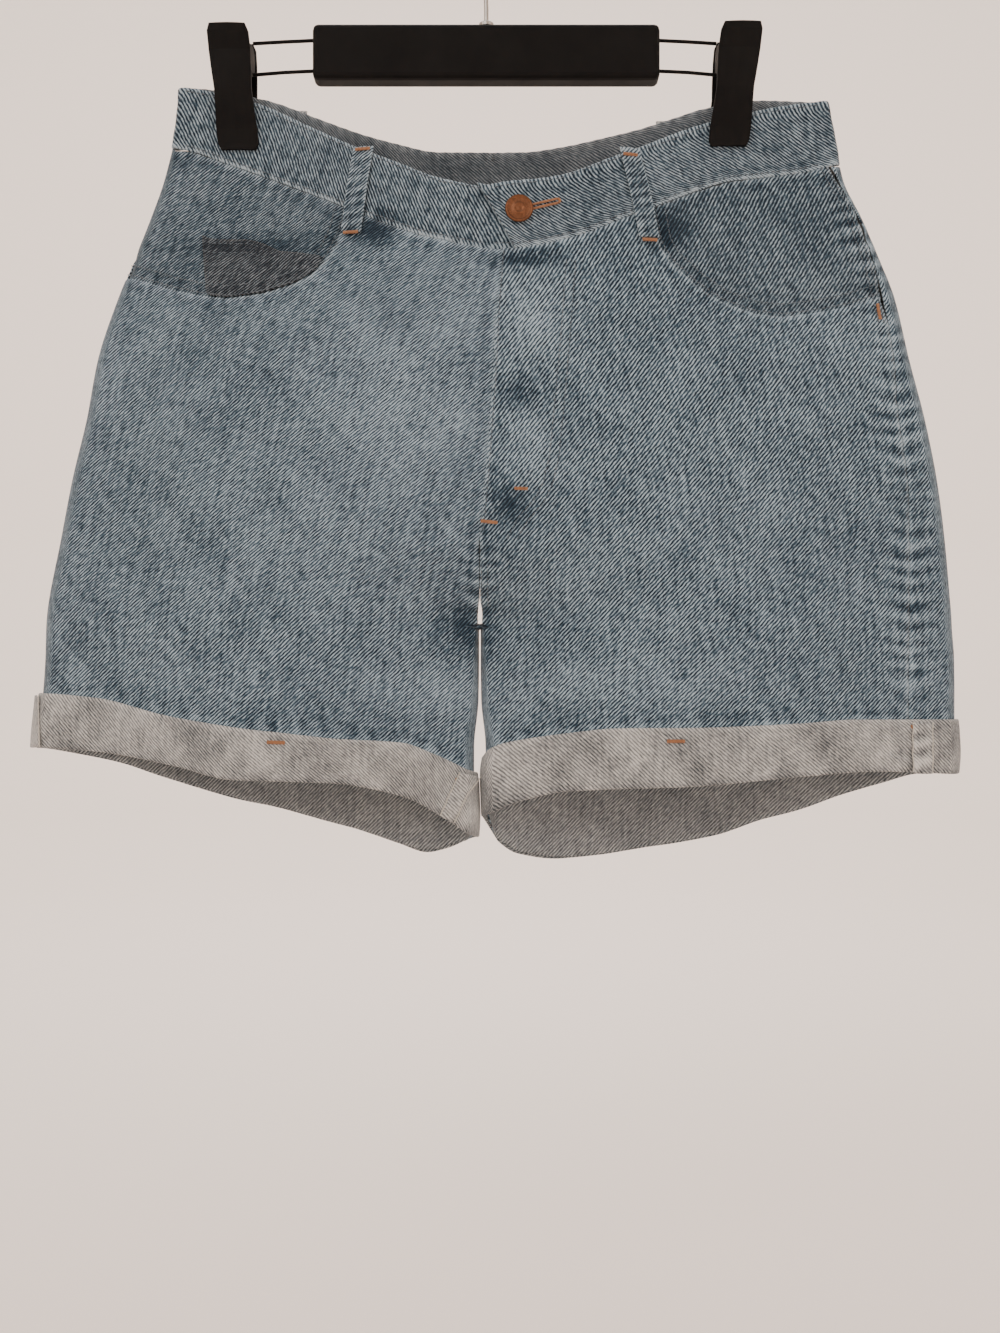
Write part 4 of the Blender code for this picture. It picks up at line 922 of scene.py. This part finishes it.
def build_band():
    """The waistband: doubled cloth, ribbed by its stitching, its right end lapped over its left."""
    path = band_path()
    sides = np.array([p[0] for p in path])
    us = np.array([p[1] for p in path])
    count = len(path)
    span = BAND_WIDTH
    shares = rounded_rows(14, span, 1.6)
    far = float(inner_u(LEFT, TAB_LEVEL))
    step_in = np.where((sides == LEFT) & (us > far), -TAB_STEP, 0.0)
    step_in = np.where((sides == LEFT) & (us <= far) & (us > far - 24),
                       -TAB_STEP * smooth((us - far + 24) / 24), step_in)
    near = np.clip((us - float(inner_u(RIGHT, TAB_LEVEL)) + TAB_RUN) / TAB_RUN, 0, 1)
    near = near * (sides == RIGHT)
    step_out = TAB_STEP * smooth(near * 1.6)
    middle, outward, uv, wear_and_shade = [], [], [], []
    for share in shares:
        line, facing, tone = np.zeros((count, 3)), np.zeros((count, 3)), np.zeros(count)
        z = np.full(count, -165.0)
        for side in (LEFT, RIGHT):
            for face in (1, -1):
                mine = (sides == side) & ((us >= 0) if face == 1 else (us < 0))
                lines = ((BAND_TOP_FRONT, BAND_END_FRONT) if face == 1
                         else (BAND_TOP_BACK, BAND_END_BACK))
                u = us[mine]
                level = z[mine]
                for _ in range(4):
                    x = surface(side, u, level)[..., 0]
                    top, end = curve(lines[0], x), curve(lines[1], x)
                    level = top + (end - top) * share
                slant = (2.0 - 6.0 * share) * near[mine]
                z[mine] = level
                line[mine] = cloth(side, u + slant, level)
                facing[mine] = normals(side, u + slant, level)
                tone[mine] = pale(side, u + slant, level)
        x = line[:, 0]
        rib = 0.32 * np.sin(share * math.pi * 6.0 + 1.5 * wander(x, x * 0.3, 31.0, 2))
        rib = rib * (0.5 + 0.5 * wander(x, x * 0.7, 23.0, 5))
        edge = np.exp(-(min(share, 1 - share) * span / 5.0) ** 2)
        gather = 0.35 * edge * np.sin(x / 1.25 + 2.0 * wander(x, x, 17.0, 4))
        curl = 2.6 * np.exp(-((share * span) / 9.0) ** 2) * smooth((near - 0.82) / 0.18)
        out = step_in + step_out + rib + gather + curl
        middle.append(line + facing * out[:, None])
        outward.append(facing)
        length = np.concatenate([[0], np.cumsum(np.linalg.norm(np.diff(line, axis=0), axis=1))])
        uv.append(np.stack([-length, np.full(count, -share * span)], -1))
        tone = tone + 0.30 * gather + 0.14 * rib + 0.22 * math.exp(-(share * span / 2.2) ** 2)
        tone = tone + 0.20 * math.exp(-((1 - share) * span / 2.2) ** 2)
        wear_and_shade.append(np.clip(tone, 0, 1))
    strip("waistband_cloth", "waistband", np.array(middle), np.array(outward), np.array(uv),
          np.array(wear_and_shade), ["band", "band_inside"], BAND_WALL, shares, span, False,
          (0.86, 0.038))


def cuff_path(side):
    """u at a height for every station round one leg, from inner fold to inner fold."""
    def at(z):
        whole = inner_u(side, z)
        start = whole - FOLD_SPAN
        flat = np.linspace(0, 1, 110)[1:-1]
        turn = np.linspace(0, 1, 9)
        z1 = np.ones_like(z)
        rows = [-(whole - t * FOLD_SPAN) for t in turn[:-1]]
        rows += [-(FOLD_SPAN + t * (start - FOLD_SPAN)) for t in flat[::-1]]
        rows += [t * z1 for t in np.linspace(-FOLD_SPAN, FOLD_SPAN, 19)]
        rows += [FOLD_SPAN + t * (start - FOLD_SPAN) for t in flat]
        rows += [start + t * FOLD_SPAN for t in turn[:-1]]
        return rows
    return at


def build_cuffs():
    """Both rolled cuffs, which show the cloth's wrong side and sag a little between seams."""
    for side, name in ((LEFT, "left"), (RIGHT, "right")):
        at = cuff_path(side)
        count = len(at(np.array(-540.0)))
        span = CUFF_WIDTH
        shares = rounded_rows(14, span, 2.0)
        middle, outward, uv, wear_and_shade = [], [], [], []
        for share in shares:
            z = np.full(count, -540.0)
            for _ in range(4):
                u = cuff_u(at, z)
                x = surface(side, u, z)[..., 0]
                new = np.zeros(count)
                for face, mine in (("front", u >= 0), ("back", u < 0)):
                    top = curve(CUFF_TOP[side][face], x[mine])
                    end = curve(CUFF_END[side][face], x[mine])
                    new[mine] = top + (end - top) * share
                z = new
            u = cuff_u(at, z)
            line, facing = cloth(side, u, z), normals(side, u, z)
            x = line[:, 0]
            roll = 0.9 * math.sin(math.pi * share) + 0.5 * wander(x, z, 15.0, 3)
            sag = 0.45 * wander(x, z * 0.4, 7.0, 8) * (0.3 + 0.7 * share)
            lip = -0.5 * math.exp(-((share * span) / 3.0) ** 2)
            out = WALL / 2 + 0.5 + CUFF_WALL / 2 + np.maximum(roll + sag + lip, -0.3)
            middle.append(line + facing * out[:, None])
            outward.append(facing)
            uv.append(np.stack([-side * u, -share * span * np.ones(count)], -1))
            tone = 0.5 + 0.16 * wander(x, z, 12.0, 2) + 0.30 * (sag + 0.1)
            tone = tone + 0.12 * math.exp(-(share * span / 2.0) ** 2)
            # Painted shade: darker towards the cuff's bottom fold, where it turns under.
            tone = tone - 0.14 * math.exp(-((1 - share) * span / 3.0) ** 2)
            wear_and_shade.append(np.clip(tone, 0, 1))
        strip(f"cuff_{name}_cloth", f"cuff_{name}", np.array(middle), np.array(outward),
              np.array(uv), np.array(wear_and_shade), ["reverse", "inside"], CUFF_WALL, shares, span,
              True, (0.60, 0.040))


def cuff_u(at, z):
    """u of each station at its own height."""
    rows = np.array([np.broadcast_to(row, z.shape) for row in at(z)])
    return rows[np.arange(len(z)), np.arange(len(z))]


def build_loops():
    """Belt loops: narrow doubled strips that bow out from the band."""
    for name, (side, face, x_top, x_end, width, past) in LOOPS.items():
        lines = (BAND_TOP_FRONT, BAND_END_FRONT) if face > 0 else (BAND_TOP_BACK, BAND_END_BACK)
        top = float(curve(lines[0], x_top)) + 0.8
        end = float(curve(lines[1], x_end)) - past
        long = top - end
        shares = rounded_rows(8, width, 1.0)
        down = np.linspace(0, 1, 34)
        z = top + (end - top) * down
        middle, outward, uv, wear_and_shade = [], [], [], []
        for share in shares:
            x = x_top + (x_end - x_top) * down + (share - 0.5) * width
            u = around(side, x, z, face)
            facing = normals(side, u, z)
            bulge = np.sin(math.pi * down) * 1.3
            hem = 0.25 * np.cos((share - 0.5) * 2 * math.pi * 1.5)
            lift = BAND_WALL / 2 + GAP + 0.85 + bulge + hem
            lift = lift + 0.18 * np.sin(down * long / 1.1 + share * 3)
            middle.append(cloth(side, u, z) + facing * lift[:, None])
            outward.append(facing)
            uv.append(np.stack([np.full(len(z), face * share * width), z], -1))
            tone = 0.46 + 0.18 * np.exp(-((min(share, 1 - share) * width) / 1.2) ** 2)
            tone = tone + 0.16 * np.sin(down * long / 1.1 + share * 3) + 0.1 * wander(x, z, 6.0, 3)
            tone = tone + 0.3 * np.exp(-((down * long) / 3.0) ** 2)
            wear_and_shade.append(np.clip(tone, 0, 1))
        strip(f"{name}_cloth", name, np.array(middle), np.array(outward), np.array(uv),
              np.array(wear_and_shade), ["facing", "inside"], 1.5, shares, width, False,
              (long * MM, width * MM))


def capsule(a, b, out, radius, points, faces, sides=5):
    """One stitch: a short thread that dips into the cloth at both ends."""
    a, b, out = np.array(a), np.array(b), np.array(out)
    along = b - a
    length = np.linalg.norm(along)
    if length < 1e-6:
        return
    along = along / length
    across = np.cross(along, out)
    across = across / max(np.linalg.norm(across), 1e-9)
    out = np.cross(across, along)
    base = len(points)
    for t, size, dip in ((0.0, 0.35, -0.22), (0.18, 0.95, 0.04), (0.5, 1.0, 0.12),
                         (0.82, 0.95, 0.04), (1.0, 0.35, -0.22)):
        centre = a + (b - a) * t + out * dip
        for k in range(sides):
            angle = 2 * math.pi * k / sides
            points.append(centre + (across * math.cos(angle) + out * math.sin(angle)) * radius * size)
    for j in range(4):
        for k in range(sides):
            p, q = base + j * sides + k, base + j * sides + (k + 1) % sides
            faces.append((p, q, q + sides, p + sides))
    faces.append(tuple(base + k for k in range(sides))[::-1])
    faces.append(tuple(base + 4 * sides + k for k in range(sides)))


def spots(side_of, face, xs, zs, lift):
    """Places on the cloth's outer skin above x and height, and the way out there."""
    xs, zs = np.asarray(xs, float), np.asarray(zs, float)
    places, outs = np.zeros((len(xs), 3)), np.zeros((len(xs), 3))
    for side in (LEFT, RIGHT):
        mine = np.array([side_of(x, z) == side for x, z in zip(xs, zs)])
        if mine.any():
            u = around(side, xs[mine], zs[mine], face)
            extra = lift(side, u, zs[mine]) if callable(lift) else lift
            out = normals(side, u, zs[mine])
            places[mine] = cloth(side, u, zs[mine]) + out * np.reshape(extra, (-1, 1))
            outs[mine] = out
    return places, outs


def shifted(line, away):
    """The line moved sideways: positive to the right of the way it runs."""
    p = np.array(line, float)
    step = np.gradient(p, axis=0)
    step = step / np.maximum(np.linalg.norm(step, axis=1, keepdims=True), 1e-9)
    return p + np.stack([step[:, 1], -step[:, 0]], -1) * away


def run_stitches(line, side_of, face, lift, points, faces, pitch=3.4, share=0.76, radius=0.36):
    """A row of stitches along a line of x and height."""
    p = np.array(line, float)
    length = np.hypot(*np.diff(p, axis=0).T)
    run = np.concatenate([[0], np.cumsum(length)])
    start = np.arange(0, run[-1] - pitch * share, pitch)
    ends = start + pitch * share
    at = np.concatenate([start, ends])
    xs, zs = np.interp(at, run, p[:, 0]), np.interp(at, run, p[:, 1])
    places, outs = spots(side_of, face, xs, zs, lift)
    half = len(start)
    for k in range(half):
        capsule(places[k], places[half + k], outs[k], radius, points, faces)


def only(side):
    """Says that every place is on one side."""
    return lambda x, z: side


FLAT_THREAD = WALL / 2 + 0.12
BAND_THREAD = BAND_WALL / 2 + 0.12


def over_fly(side, u, z):
    """How far thread lies out on the front, over the fly's upper layer too."""
    return FLAT_THREAD + (fly_lift(u, z) if side == RIGHT else 0.0)


def over_tab(side, u, z):
    """How far thread lies out on the band, up over the tab."""
    return BAND_THREAD + TAB_STEP * smooth(
        np.clip((u - float(inner_u(RIGHT, TAB_LEVEL)) + TAB_RUN) / TAB_RUN, 0, 1) * 1.6)


def over_coin_pocket(side, u, z):
    """How far thread lies out on the coin pocket."""
    return facing_lift(LEFT, MOUTH_LEFT)(u, z) + 2.2


def build_stitches():
    """Rows of topstitching, doubled along the main seams."""
    points, faces = [], []
    flat = FLAT_THREAD
    for away in (2.0, 8.0):
        run_stitches(shifted(MOUTH_LEFT, away), only(LEFT), 1, flat, points, faces)
        run_stitches(shifted(MOUTH_RIGHT, -away), only(RIGHT), 1, flat, points, faces)
    for away in (0.0, -5.6):
        run_stitches(shifted(J_STITCH, away), only(RIGHT), 1, over_fly, points, faces)
    run_stitches([(x + 1.8, z) for x, z in FLY_EDGE], only(RIGHT), 1, over_fly, points, faces)
    for offset in (1.4, 5.0):
        run_stitches([(-3.5 + offset, -404), (-3.9 + offset, -430), (-3.9 + offset, -446)],
                     only(RIGHT), 1, flat, points, faces)
        run_stitches([(x - 1.5 - offset, z) for x, z in OUTSEAM_RIGHT[:6]], only(RIGHT), 1,
                     flat, points, faces)
        run_stitches([(x, z - offset) for x, z in YOKE_END_BACK[:4]], only(LEFT), -1, flat,
                     points, faces)
        run_stitches([(x, z - offset) for x, z in YOKE_END_BACK[3:]], only(RIGHT), -1, flat,
                     points, faces)
        run_stitches([(8.4 + offset, -192), (8.4 + offset, -290)], only(RIGHT), -1, flat,
                     points, faces)
    band = BAND_THREAD
    for line, end, face in ((BAND_TOP_FRONT, BAND_END_FRONT, 1), (BAND_TOP_BACK, BAND_END_BACK, -1)):
        for rows, away in ((line, -2.6), (end, 2.6)):
            left = [(x, z + away) for x, z in part_of(rows, -186.0, 0.5 if face > 0 else 3.0)]
            right = [(x, z + away) for x, z in part_of(rows, 5.0, 206.0)]
            run_stitches(left, only(LEFT), face, band + 0.25, points, faces)
            lift = over_tab if face > 0 else band + 0.25
            run_stitches(right, only(RIGHT), face, lift, points, faces)
    top = [(-174.5, -217.5), (-168, -219.5), (-145, -220.5), (-135, -224.0), (-125, -229.5),
           (-110, -232.0), (-99, -233.4)]
    for drop in (0.8, 6.8):
        run_stitches([(x, z - drop) for x, z in top], only(LEFT), 1, over_coin_pocket, points,
                     faces)
    for side, x0, z0 in POCKETS.values():
        shape = pocket_corners(side, x0, z0)
        for inset in (0.965, 0.90):
            ring = [((x - x0) * inset + x0, (z - z0 + 70) * inset + z0 - 70) for x, z in shape]
            run_stitches(ring + [ring[0]], only(side), -1, WALL + GAP + 1.1, points, faces)
    made = add_mesh("topstitching", np.array(points), faces, ["navy"])


def pocket_corners(side, x0, z0):
    """A back pocket's corners, leaning with its leg."""
    return [(x0 + x + 0.10 * side * z, z0 + z + x * side * 0.12) for x, z in POCKET_SHAPE]


# Bartacks: face, x and height of both ends, width, side, how far out they lie.
TACKS = (
    (1, -78.5, -166.0, -69.5, -166.0, 2.2, LEFT, 4.0), (1, -85.5, -218.5, -76.5, -218.5, 2.2, LEFT, 3.2),
    (1, 82.5, -168.5, 91.5, -168.5, 2.2, RIGHT, 4.0), (1, 94.0, -222.5, 103.0, -222.5, 2.2, RIGHT, 3.2),
    (1, -174.0, -217.0, -166.0, -226.0, 2.2, LEFT, 1.2), (1, 241.0, -256.5, 242.5, -266.5, 2.2, RIGHT, 0.9),
    (1, -3.0, -393.0, 7.0, -394.0, 2.2, RIGHT, 2.7), (1, 17.0, -374.0, 25.0, -374.0, 2.0, RIGHT, 2.7),
    (1, -130.5, -525.0, -120.0, -525.4, 2.4, LEFT, 4.6), (1, 108.5, -524.5, 119.0, -524.5, 2.4, RIGHT, 4.6),
    (1, 256.5, -516.5, 268.5, -516.8, 2.4, RIGHT, 4.6), (1, -20.0, -549.0, -10.0, -551.0, 2.4, LEFT, 4.2),
    (-1, -133.0, -566.0, -122.0, -566.0, 2.4, LEFT, 4.2), (-1, 112.0, -563.0, 122.0, -563.0, 2.4, RIGHT, 4.2),
    (-1, 13.0, -156.0, 23.0, -156.0, 2.2, RIGHT, 4.0), (-1, 13.0, -198.0, 23.0, -198.0, 2.2, RIGHT, 3.2),
    (-1, -123.0, -141.0, -113.0, -141.0, 2.2, LEFT, 4.0), (-1, 107.0, -148.0, 117.0, -148.0, 2.2, RIGHT, 4.0),
)


def build_tacks():
    """Bartacks: short dense bars of thread across each stressed seam end."""
    points, faces = [], []
    for face, x0, z0, x1, z1, width, side, out in TACKS:
        long = math.hypot(x1 - x0, z1 - z0)
        count = max(6, int(long / 0.62))
        across = np.array([-(z1 - z0), x1 - x0]) / long * width / 2
        for k in range(count):
            t = (k + 0.5) / count
            x, z = x0 + (x1 - x0) * t, z0 + (z1 - z0) * t
            uneven = 1.0 + 0.16 * math.sin(k * 2.7 + x0)
            xs, zs = [x - across[0] * uneven, x + across[0]], [z - across[1] * uneven, z + across[1]]
            places, outs = spots(only(side), face, xs, zs, out)
            capsule(places[0], places[1], outs[0], 0.42, points, faces)
    made = add_mesh("bartacks", np.array(points), faces, ["rust"])


def tab_spot(dx, dz, lift):
    """A place on the tab beside the button, and the way out there."""
    x, z = BUTTON_AT[0] + dx, BUTTON_AT[1] + dz
    u = float(around(RIGHT, x, z))
    out = normals(RIGHT, u, z)
    return cloth(RIGHT, u, z) + out * (TAB_STEP + BAND_WALL / 2 + lift), out


def build_buttonhole():
    """A keyhole worked in thread, rising to the right from under the button."""
    points, faces = [], []
    angle = math.atan2(4.0, 16.0)
    along = (math.cos(angle), math.sin(angle))
    across = (-along[1], along[0])
    for k in range(30):
        t = 7.0 + 17.0 * k / 29
        for sign in (-1, 1):
            near, far = 0.45 * sign, 2.1 * sign
            a, out = tab_spot(along[0] * t + across[0] * near, along[1] * t + across[1] * near, 0.25)
            b, _ = tab_spot(along[0] * t + across[0] * far, along[1] * t + across[1] * far, 0.15)
            capsule(a, b, out, 0.38, points, faces)
    for k in range(8):
        turn = angle - math.pi / 2 + math.pi * k / 7
        cx, cz = along[0] * 24.0, along[1] * 24.0
        a, out = tab_spot(cx + 0.45 * math.cos(turn), cz + 0.45 * math.sin(turn), 0.25)
        b, _ = tab_spot(cx + 2.1 * math.cos(turn), cz + 2.1 * math.sin(turn), 0.15)
        capsule(a, b, out, 0.38, points, faces)
    made = add_mesh("buttonhole_thread", np.array(points), faces, ["rust"])


def build_button():
    """A tack button: rolled rim, sunk field with a worn grain, low centre stud."""
    centre, out = tab_spot(0.0, 0.0, 0.35)
    axis = Vector(out).normalized()
    turn = axis.to_track_quat("Z", "Y")
    r = BUTTON_RADIUS
    profile = [(2.4, -0.3), (2.4, 0.8), (r - 1.0, 0.9), (r - 0.35, 1.15), (r, 1.7), (r, 2.2),
               (r - 0.3, 2.75), (r - 0.85, 3.0), (r - 1.4, 2.8), (r - 1.75, 2.35), (r - 2.1, 2.2),
               (5.0, 2.28), (3.9, 2.3), (3.5, 2.62), (2.9, 2.78), (2.3, 2.62), (1.9, 2.35),
               (1.2, 2.45), (0.5, 2.6), (0.05, 2.62)]
    count = 72
    points, faces = [], []
    for radius, height in profile:
        for k in range(count):
            a = 2 * math.pi * k / count
            beat = 0.05 * math.sin(a * 24) * (3.9 < radius < 6.6)
            local = Vector((radius * math.cos(a), radius * math.sin(a), height + beat))
            points.append(tuple(turn @ local + Vector(centre)))
    for j in range(len(profile) - 1):
        for k in range(count):
            a, b = j * count + k, j * count + (k + 1) % count
            faces.append((a, b, b + count, a + count))
    faces.append(tuple(range(count))[::-1])
    faces.append(tuple(range((len(profile) - 1) * count, len(profile) * count)))
    made = add_mesh("button_face", np.array(points), faces, ["copper"])
    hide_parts("button")


def build_cuff_seams():
    """Seam allowances that lie on the turned-up cuffs, with their overlocked edges."""
    rows = (
        ("cuff_seam_right", RIGHT, ((257.5, -514.0), (270.5, -514.0), (270.5, -545.5), (257.5, -545.0))),
        ("cuff_seam_left", LEFT, ((-281.0, -498.5), (-271.0, -498.0), (-271.5, -530.0), (-281.0, -530.0))),
        ("cuff_seam_inner", LEFT, ((-17.5, -544.5), (-8.5, -548.0), (-21.0, -575.5), (-30.0, -571.0))),
    )
    out = WALL / 2 + 0.5 + CUFF_WALL + 1.5
    points, faces = [], []
    for name, side, corners in rows:
        ring = on_line(side, list(corners) + [corners[0]], spacing=4.0)[:-1]
        panel(name, None, side, ring, ["reverse", "inside"], out, 0.8, 2.0, 0.12)
        for a, b in ((corners[0], corners[3]), (corners[1], corners[2])):
            run_stitches([a, b], only(side), 1, out + 0.4, points, faces, 1.2, 1.0, 0.4)
    made = add_mesh("overlock_thread", np.array(points), faces, ["ecru"])


def dress_hanger():
    """Plastic on the hanger's bar, rods and clips, and wire on its hook."""
    for node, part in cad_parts.items():
        kind = ("plastic" if node.startswith(("hanger", "rod", "clip")) else
                "wire" if node.startswith("hook") else None)
        if kind:
            part.data.materials.clear()
            part.data.materials.append(look(kind))


def build_stage(settings):
    """A pale floor that turns up into a far round wall, a wide soft light and the camera."""
    rings = [(0.0, 0.0), (1.0, 0.0), (2.2, 0.0), (2.9, 0.08), (3.4, 0.35), (3.7, 0.9), (3.8, 2.0),
             (3.8, 5.0)]
    count = 64
    points = [(r * math.cos(2 * math.pi * k / count), r * math.sin(2 * math.pi * k / count), h)
              for r, h in rings for k in range(count)]
    faces = [(j * count + k, j * count + (k + 1) % count, (j + 1) * count + (k + 1) % count,
              (j + 1) * count + k) for j in range(len(rings) - 1) for k in range(count)]
    mesh = bpy.data.meshes.new("floor")
    mesh.from_pydata(points, [], faces)
    for polygon in mesh.polygons:
        polygon.use_smooth = True
    floor = bpy.data.objects.new("floor", mesh)
    floor.location = (0.0, 0.0, -0.95)
    bpy.context.scene.collection.objects.link(floor)
    made, _, shader = start_material("Painted studio floor")
    shader.inputs["Base Color"].default_value = srgb(settings.floor_colour)
    shader.inputs["Roughness"].default_value = 0.9
    mesh.materials.append(made)
    floor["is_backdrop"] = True
    world = bpy.data.worlds.new("Soft room light")
    bpy.context.scene.world = world
    world.use_nodes = True
    back = world.node_tree.nodes["Background"]
    back.inputs["Color"].default_value = srgb("fffefd")
    back.inputs["Strength"].default_value = settings.room_light
    for name, size, power, place, aim in (
        ("key", 1.6, settings.key_light, (-1.3, -1.9, 1.0), (0.0, 0.0, -0.4)),
        ("fill", 1.8, settings.fill_light, (1.6, -1.7, 0.2), (0.0, 0.0, -0.4)),
        ("back", 1.6, settings.back_light, (0.0, 0.9, 1.6), (0.0, 3.6, -0.3)),
    ):
        lamp = bpy.data.lights.new(name, "AREA")
        lamp.size = size
        lamp.energy = power
        lamp.color = srgb("fffdfb")[:3]
        holder = bpy.data.objects.new(name, lamp)
        holder.location = place
        way = Vector(aim) - Vector(place)
        holder.rotation_euler = way.to_track_quat("-Z", "Y").to_euler()
        bpy.context.scene.collection.objects.link(holder)
    lens = bpy.data.cameras.new("camera")
    lens.lens = settings.lens
    lens.clip_end = 20.0
    eye = bpy.data.objects.new("camera", lens)
    eye.location = (0.0085, -0.84, -0.48)
    eye.rotation_euler = (math.pi / 2, 0.0, 0.0)
    bpy.context.scene.collection.objects.link(eye)
    bpy.context.scene.camera = eye


class ShortsSizes(bpy.types.PropertyGroup):
    """Sizes of the cloth's drawing."""
    leg_step: bpy.props.FloatProperty(
        name="Leg panel step", description="Spacing of the leg panels' points, in millimetres", default=3.0)
    trim_step: bpy.props.FloatProperty(
        name="Trim step", description="Spacing of the small pieces' points, in millimetres", default=2.0)


class ShortsStage(bpy.types.PropertyGroup):
    """Light, floor and lens."""
    floor_colour: bpy.props.StringProperty(
        name="Floor colour", description="sRGB hex value of the floor", default="fff3ea")
    room_light: bpy.props.FloatProperty(
        name="Room light", description="Strength of the light from all round", default=0.85)
    key_light: bpy.props.FloatProperty(
        name="Key light", description="Power of the main soft light, in watts", default=22.0)
    fill_light: bpy.props.FloatProperty(
        name="Fill light", description="Power of the second soft light, in watts", default=11.0)
    back_light: bpy.props.FloatProperty(
        name="Back light", description="Power of the light behind, in watts", default=70.0)
    lens: bpy.props.FloatProperty(
        name="Lens", description="Focal length in millimetres", default=36.5)


class SHORTS_OT_legs(bpy.types.Operator):
    """Leg panels and the lapped fly"""
    bl_idname = "shorts.legs"
    bl_label = "Leg panels"

    def execute(self, context):
        step = context.scene.shorts_sizes.leg_step
        panel("front_left_cloth", "front_left", LEFT, front_left_outline(), ["leg", "inside"],
              spacing=step)
        panel("front_right_cloth", "front_right", RIGHT, front_right_outline(), ["leg", "inside"],
              fly_lift, spacing=step)
        for side, name in ((LEFT, "left"), (RIGHT, "right")):
            yoke, back = back_outlines(side)
            panel(f"yoke_{name}_cloth", f"yoke_{name}", side, yoke, ["leg", "inside"], spacing=step)
            panel(f"back_{name}_cloth", f"back_{name}", side, back, ["leg", "inside"], spacing=step)
        return {"FINISHED"}


class SHORTS_OT_pockets(bpy.types.Operator):
    """Pocket facings, coin pocket and back pockets"""
    bl_idname = "shorts.pockets"
    bl_label = "Pockets"

    def execute(self, context):
        step = context.scene.shorts_sizes.trim_step
        for side, name, mouth in ((LEFT, "left", MOUTH_LEFT), (RIGHT, "right", MOUTH_RIGHT)):
            panel(f"pocket_facing_{name}_cloth", f"pocket_facing_{name}", side, facing_outline(side),
                  ["facing", "inside"], facing_lift(side, mouth), spacing=step, tint=-0.06)
        coin = on_line(LEFT, COIN_POCKET + (COIN_POCKET[0],), spacing=4.0)[:-1]
        panel("coin_pocket_cloth", "coin_pocket", LEFT, coin, ["coin", "inside"], coin_gape, 1.0,
              step, -0.02)
        for name, (side, x0, z0) in POCKETS.items():
            shape = pocket_corners(side, x0, z0)
            ring = on_line(side, shape + [shape[0]], -1, spacing=6.0)[:-1]
            panel(f"{name}_cloth", name, side, ring, ["leg", "inside"], WALL + GAP, WALL,
                  step + 0.5, 0.04)
        return {"FINISHED"}


class SHORTS_OT_band(bpy.types.Operator):
    """Waistband with its lapped tab, and the belt loops"""
    bl_idname = "shorts.band"
    bl_label = "Waistband and loops"

    def execute(self, context):
        build_band()
        build_loops()
        return {"FINISHED"}


class SHORTS_OT_cuffs(bpy.types.Operator):
    """Rolled cuffs and the seam allowances on them"""
    bl_idname = "shorts.cuffs"
    bl_label = "Cuffs"

    def execute(self, context):
        build_cuffs()
        build_cuff_seams()
        return {"FINISHED"}


class SHORTS_OT_thread(bpy.types.Operator):
    """Topstitching, bartacks and the buttonhole"""
    bl_idname = "shorts.thread"
    bl_label = "Thread"

    def execute(self, context):
        build_stitches()
        build_tacks()
        build_buttonhole()
        return {"FINISHED"}


class SHORTS_OT_metal(bpy.types.Operator):
    """Button face, and finishes for the hanger"""
    bl_idname = "shorts.metal"
    bl_label = "Button and hanger"

    def execute(self, context):
        build_button()
        dress_hanger()
        return {"FINISHED"}


class SHORTS_OT_stage(bpy.types.Operator):
    """Floor, light and camera"""
    bl_idname = "shorts.stage"
    bl_label = "Stage"

    def execute(self, context):
        build_stage(context.scene.shorts_stage)
        return {"FINISHED"}


OPERATORS = (SHORTS_OT_legs, SHORTS_OT_pockets, SHORTS_OT_band, SHORTS_OT_cuffs, SHORTS_OT_thread,
             SHORTS_OT_metal, SHORTS_OT_stage)


class SHORTS_PT_panel(bpy.types.Panel):
    """Lists the steps in the sidebar"""
    bl_idname = "SHORTS_PT_panel"
    bl_label = "Shorts"
    bl_space_type = "VIEW_3D"
    bl_region_type = "UI"
    bl_category = "Shorts"

    def draw(self, context):
        for operator in OPERATORS:
            self.layout.operator(operator.bl_idname)


CLASSES = (ShortsSizes, ShortsStage, *OPERATORS, SHORTS_PT_panel)


def register():
    for entry in CLASSES:
        bpy.utils.register_class(entry)
    bpy.types.Scene.shorts_sizes = bpy.props.PointerProperty(type=ShortsSizes)
    bpy.types.Scene.shorts_stage = bpy.props.PointerProperty(type=ShortsStage)


def unregister():
    del bpy.types.Scene.shorts_sizes
    del bpy.types.Scene.shorts_stage
    for entry in reversed(CLASSES):
        bpy.utils.unregister_class(entry)


def plain(value):
    """Plain lists of numbers."""
    return [plain(v) for v in value] if hasattr(value, "__len__") else float(value)


def main():
    """Builds every piece in order."""
    before = plain(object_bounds())
    register()
    for step in ("legs", "pockets", "band", "cuffs", "thread", "metal", "stage"):
        if getattr(bpy.ops.shorts, step)() != {"FINISHED"}:
            raise RuntimeError(f"shorts.{step} did not finish")
    {"cad": before, "visual": plain(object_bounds())}


if __name__ == "__main__":
    main()
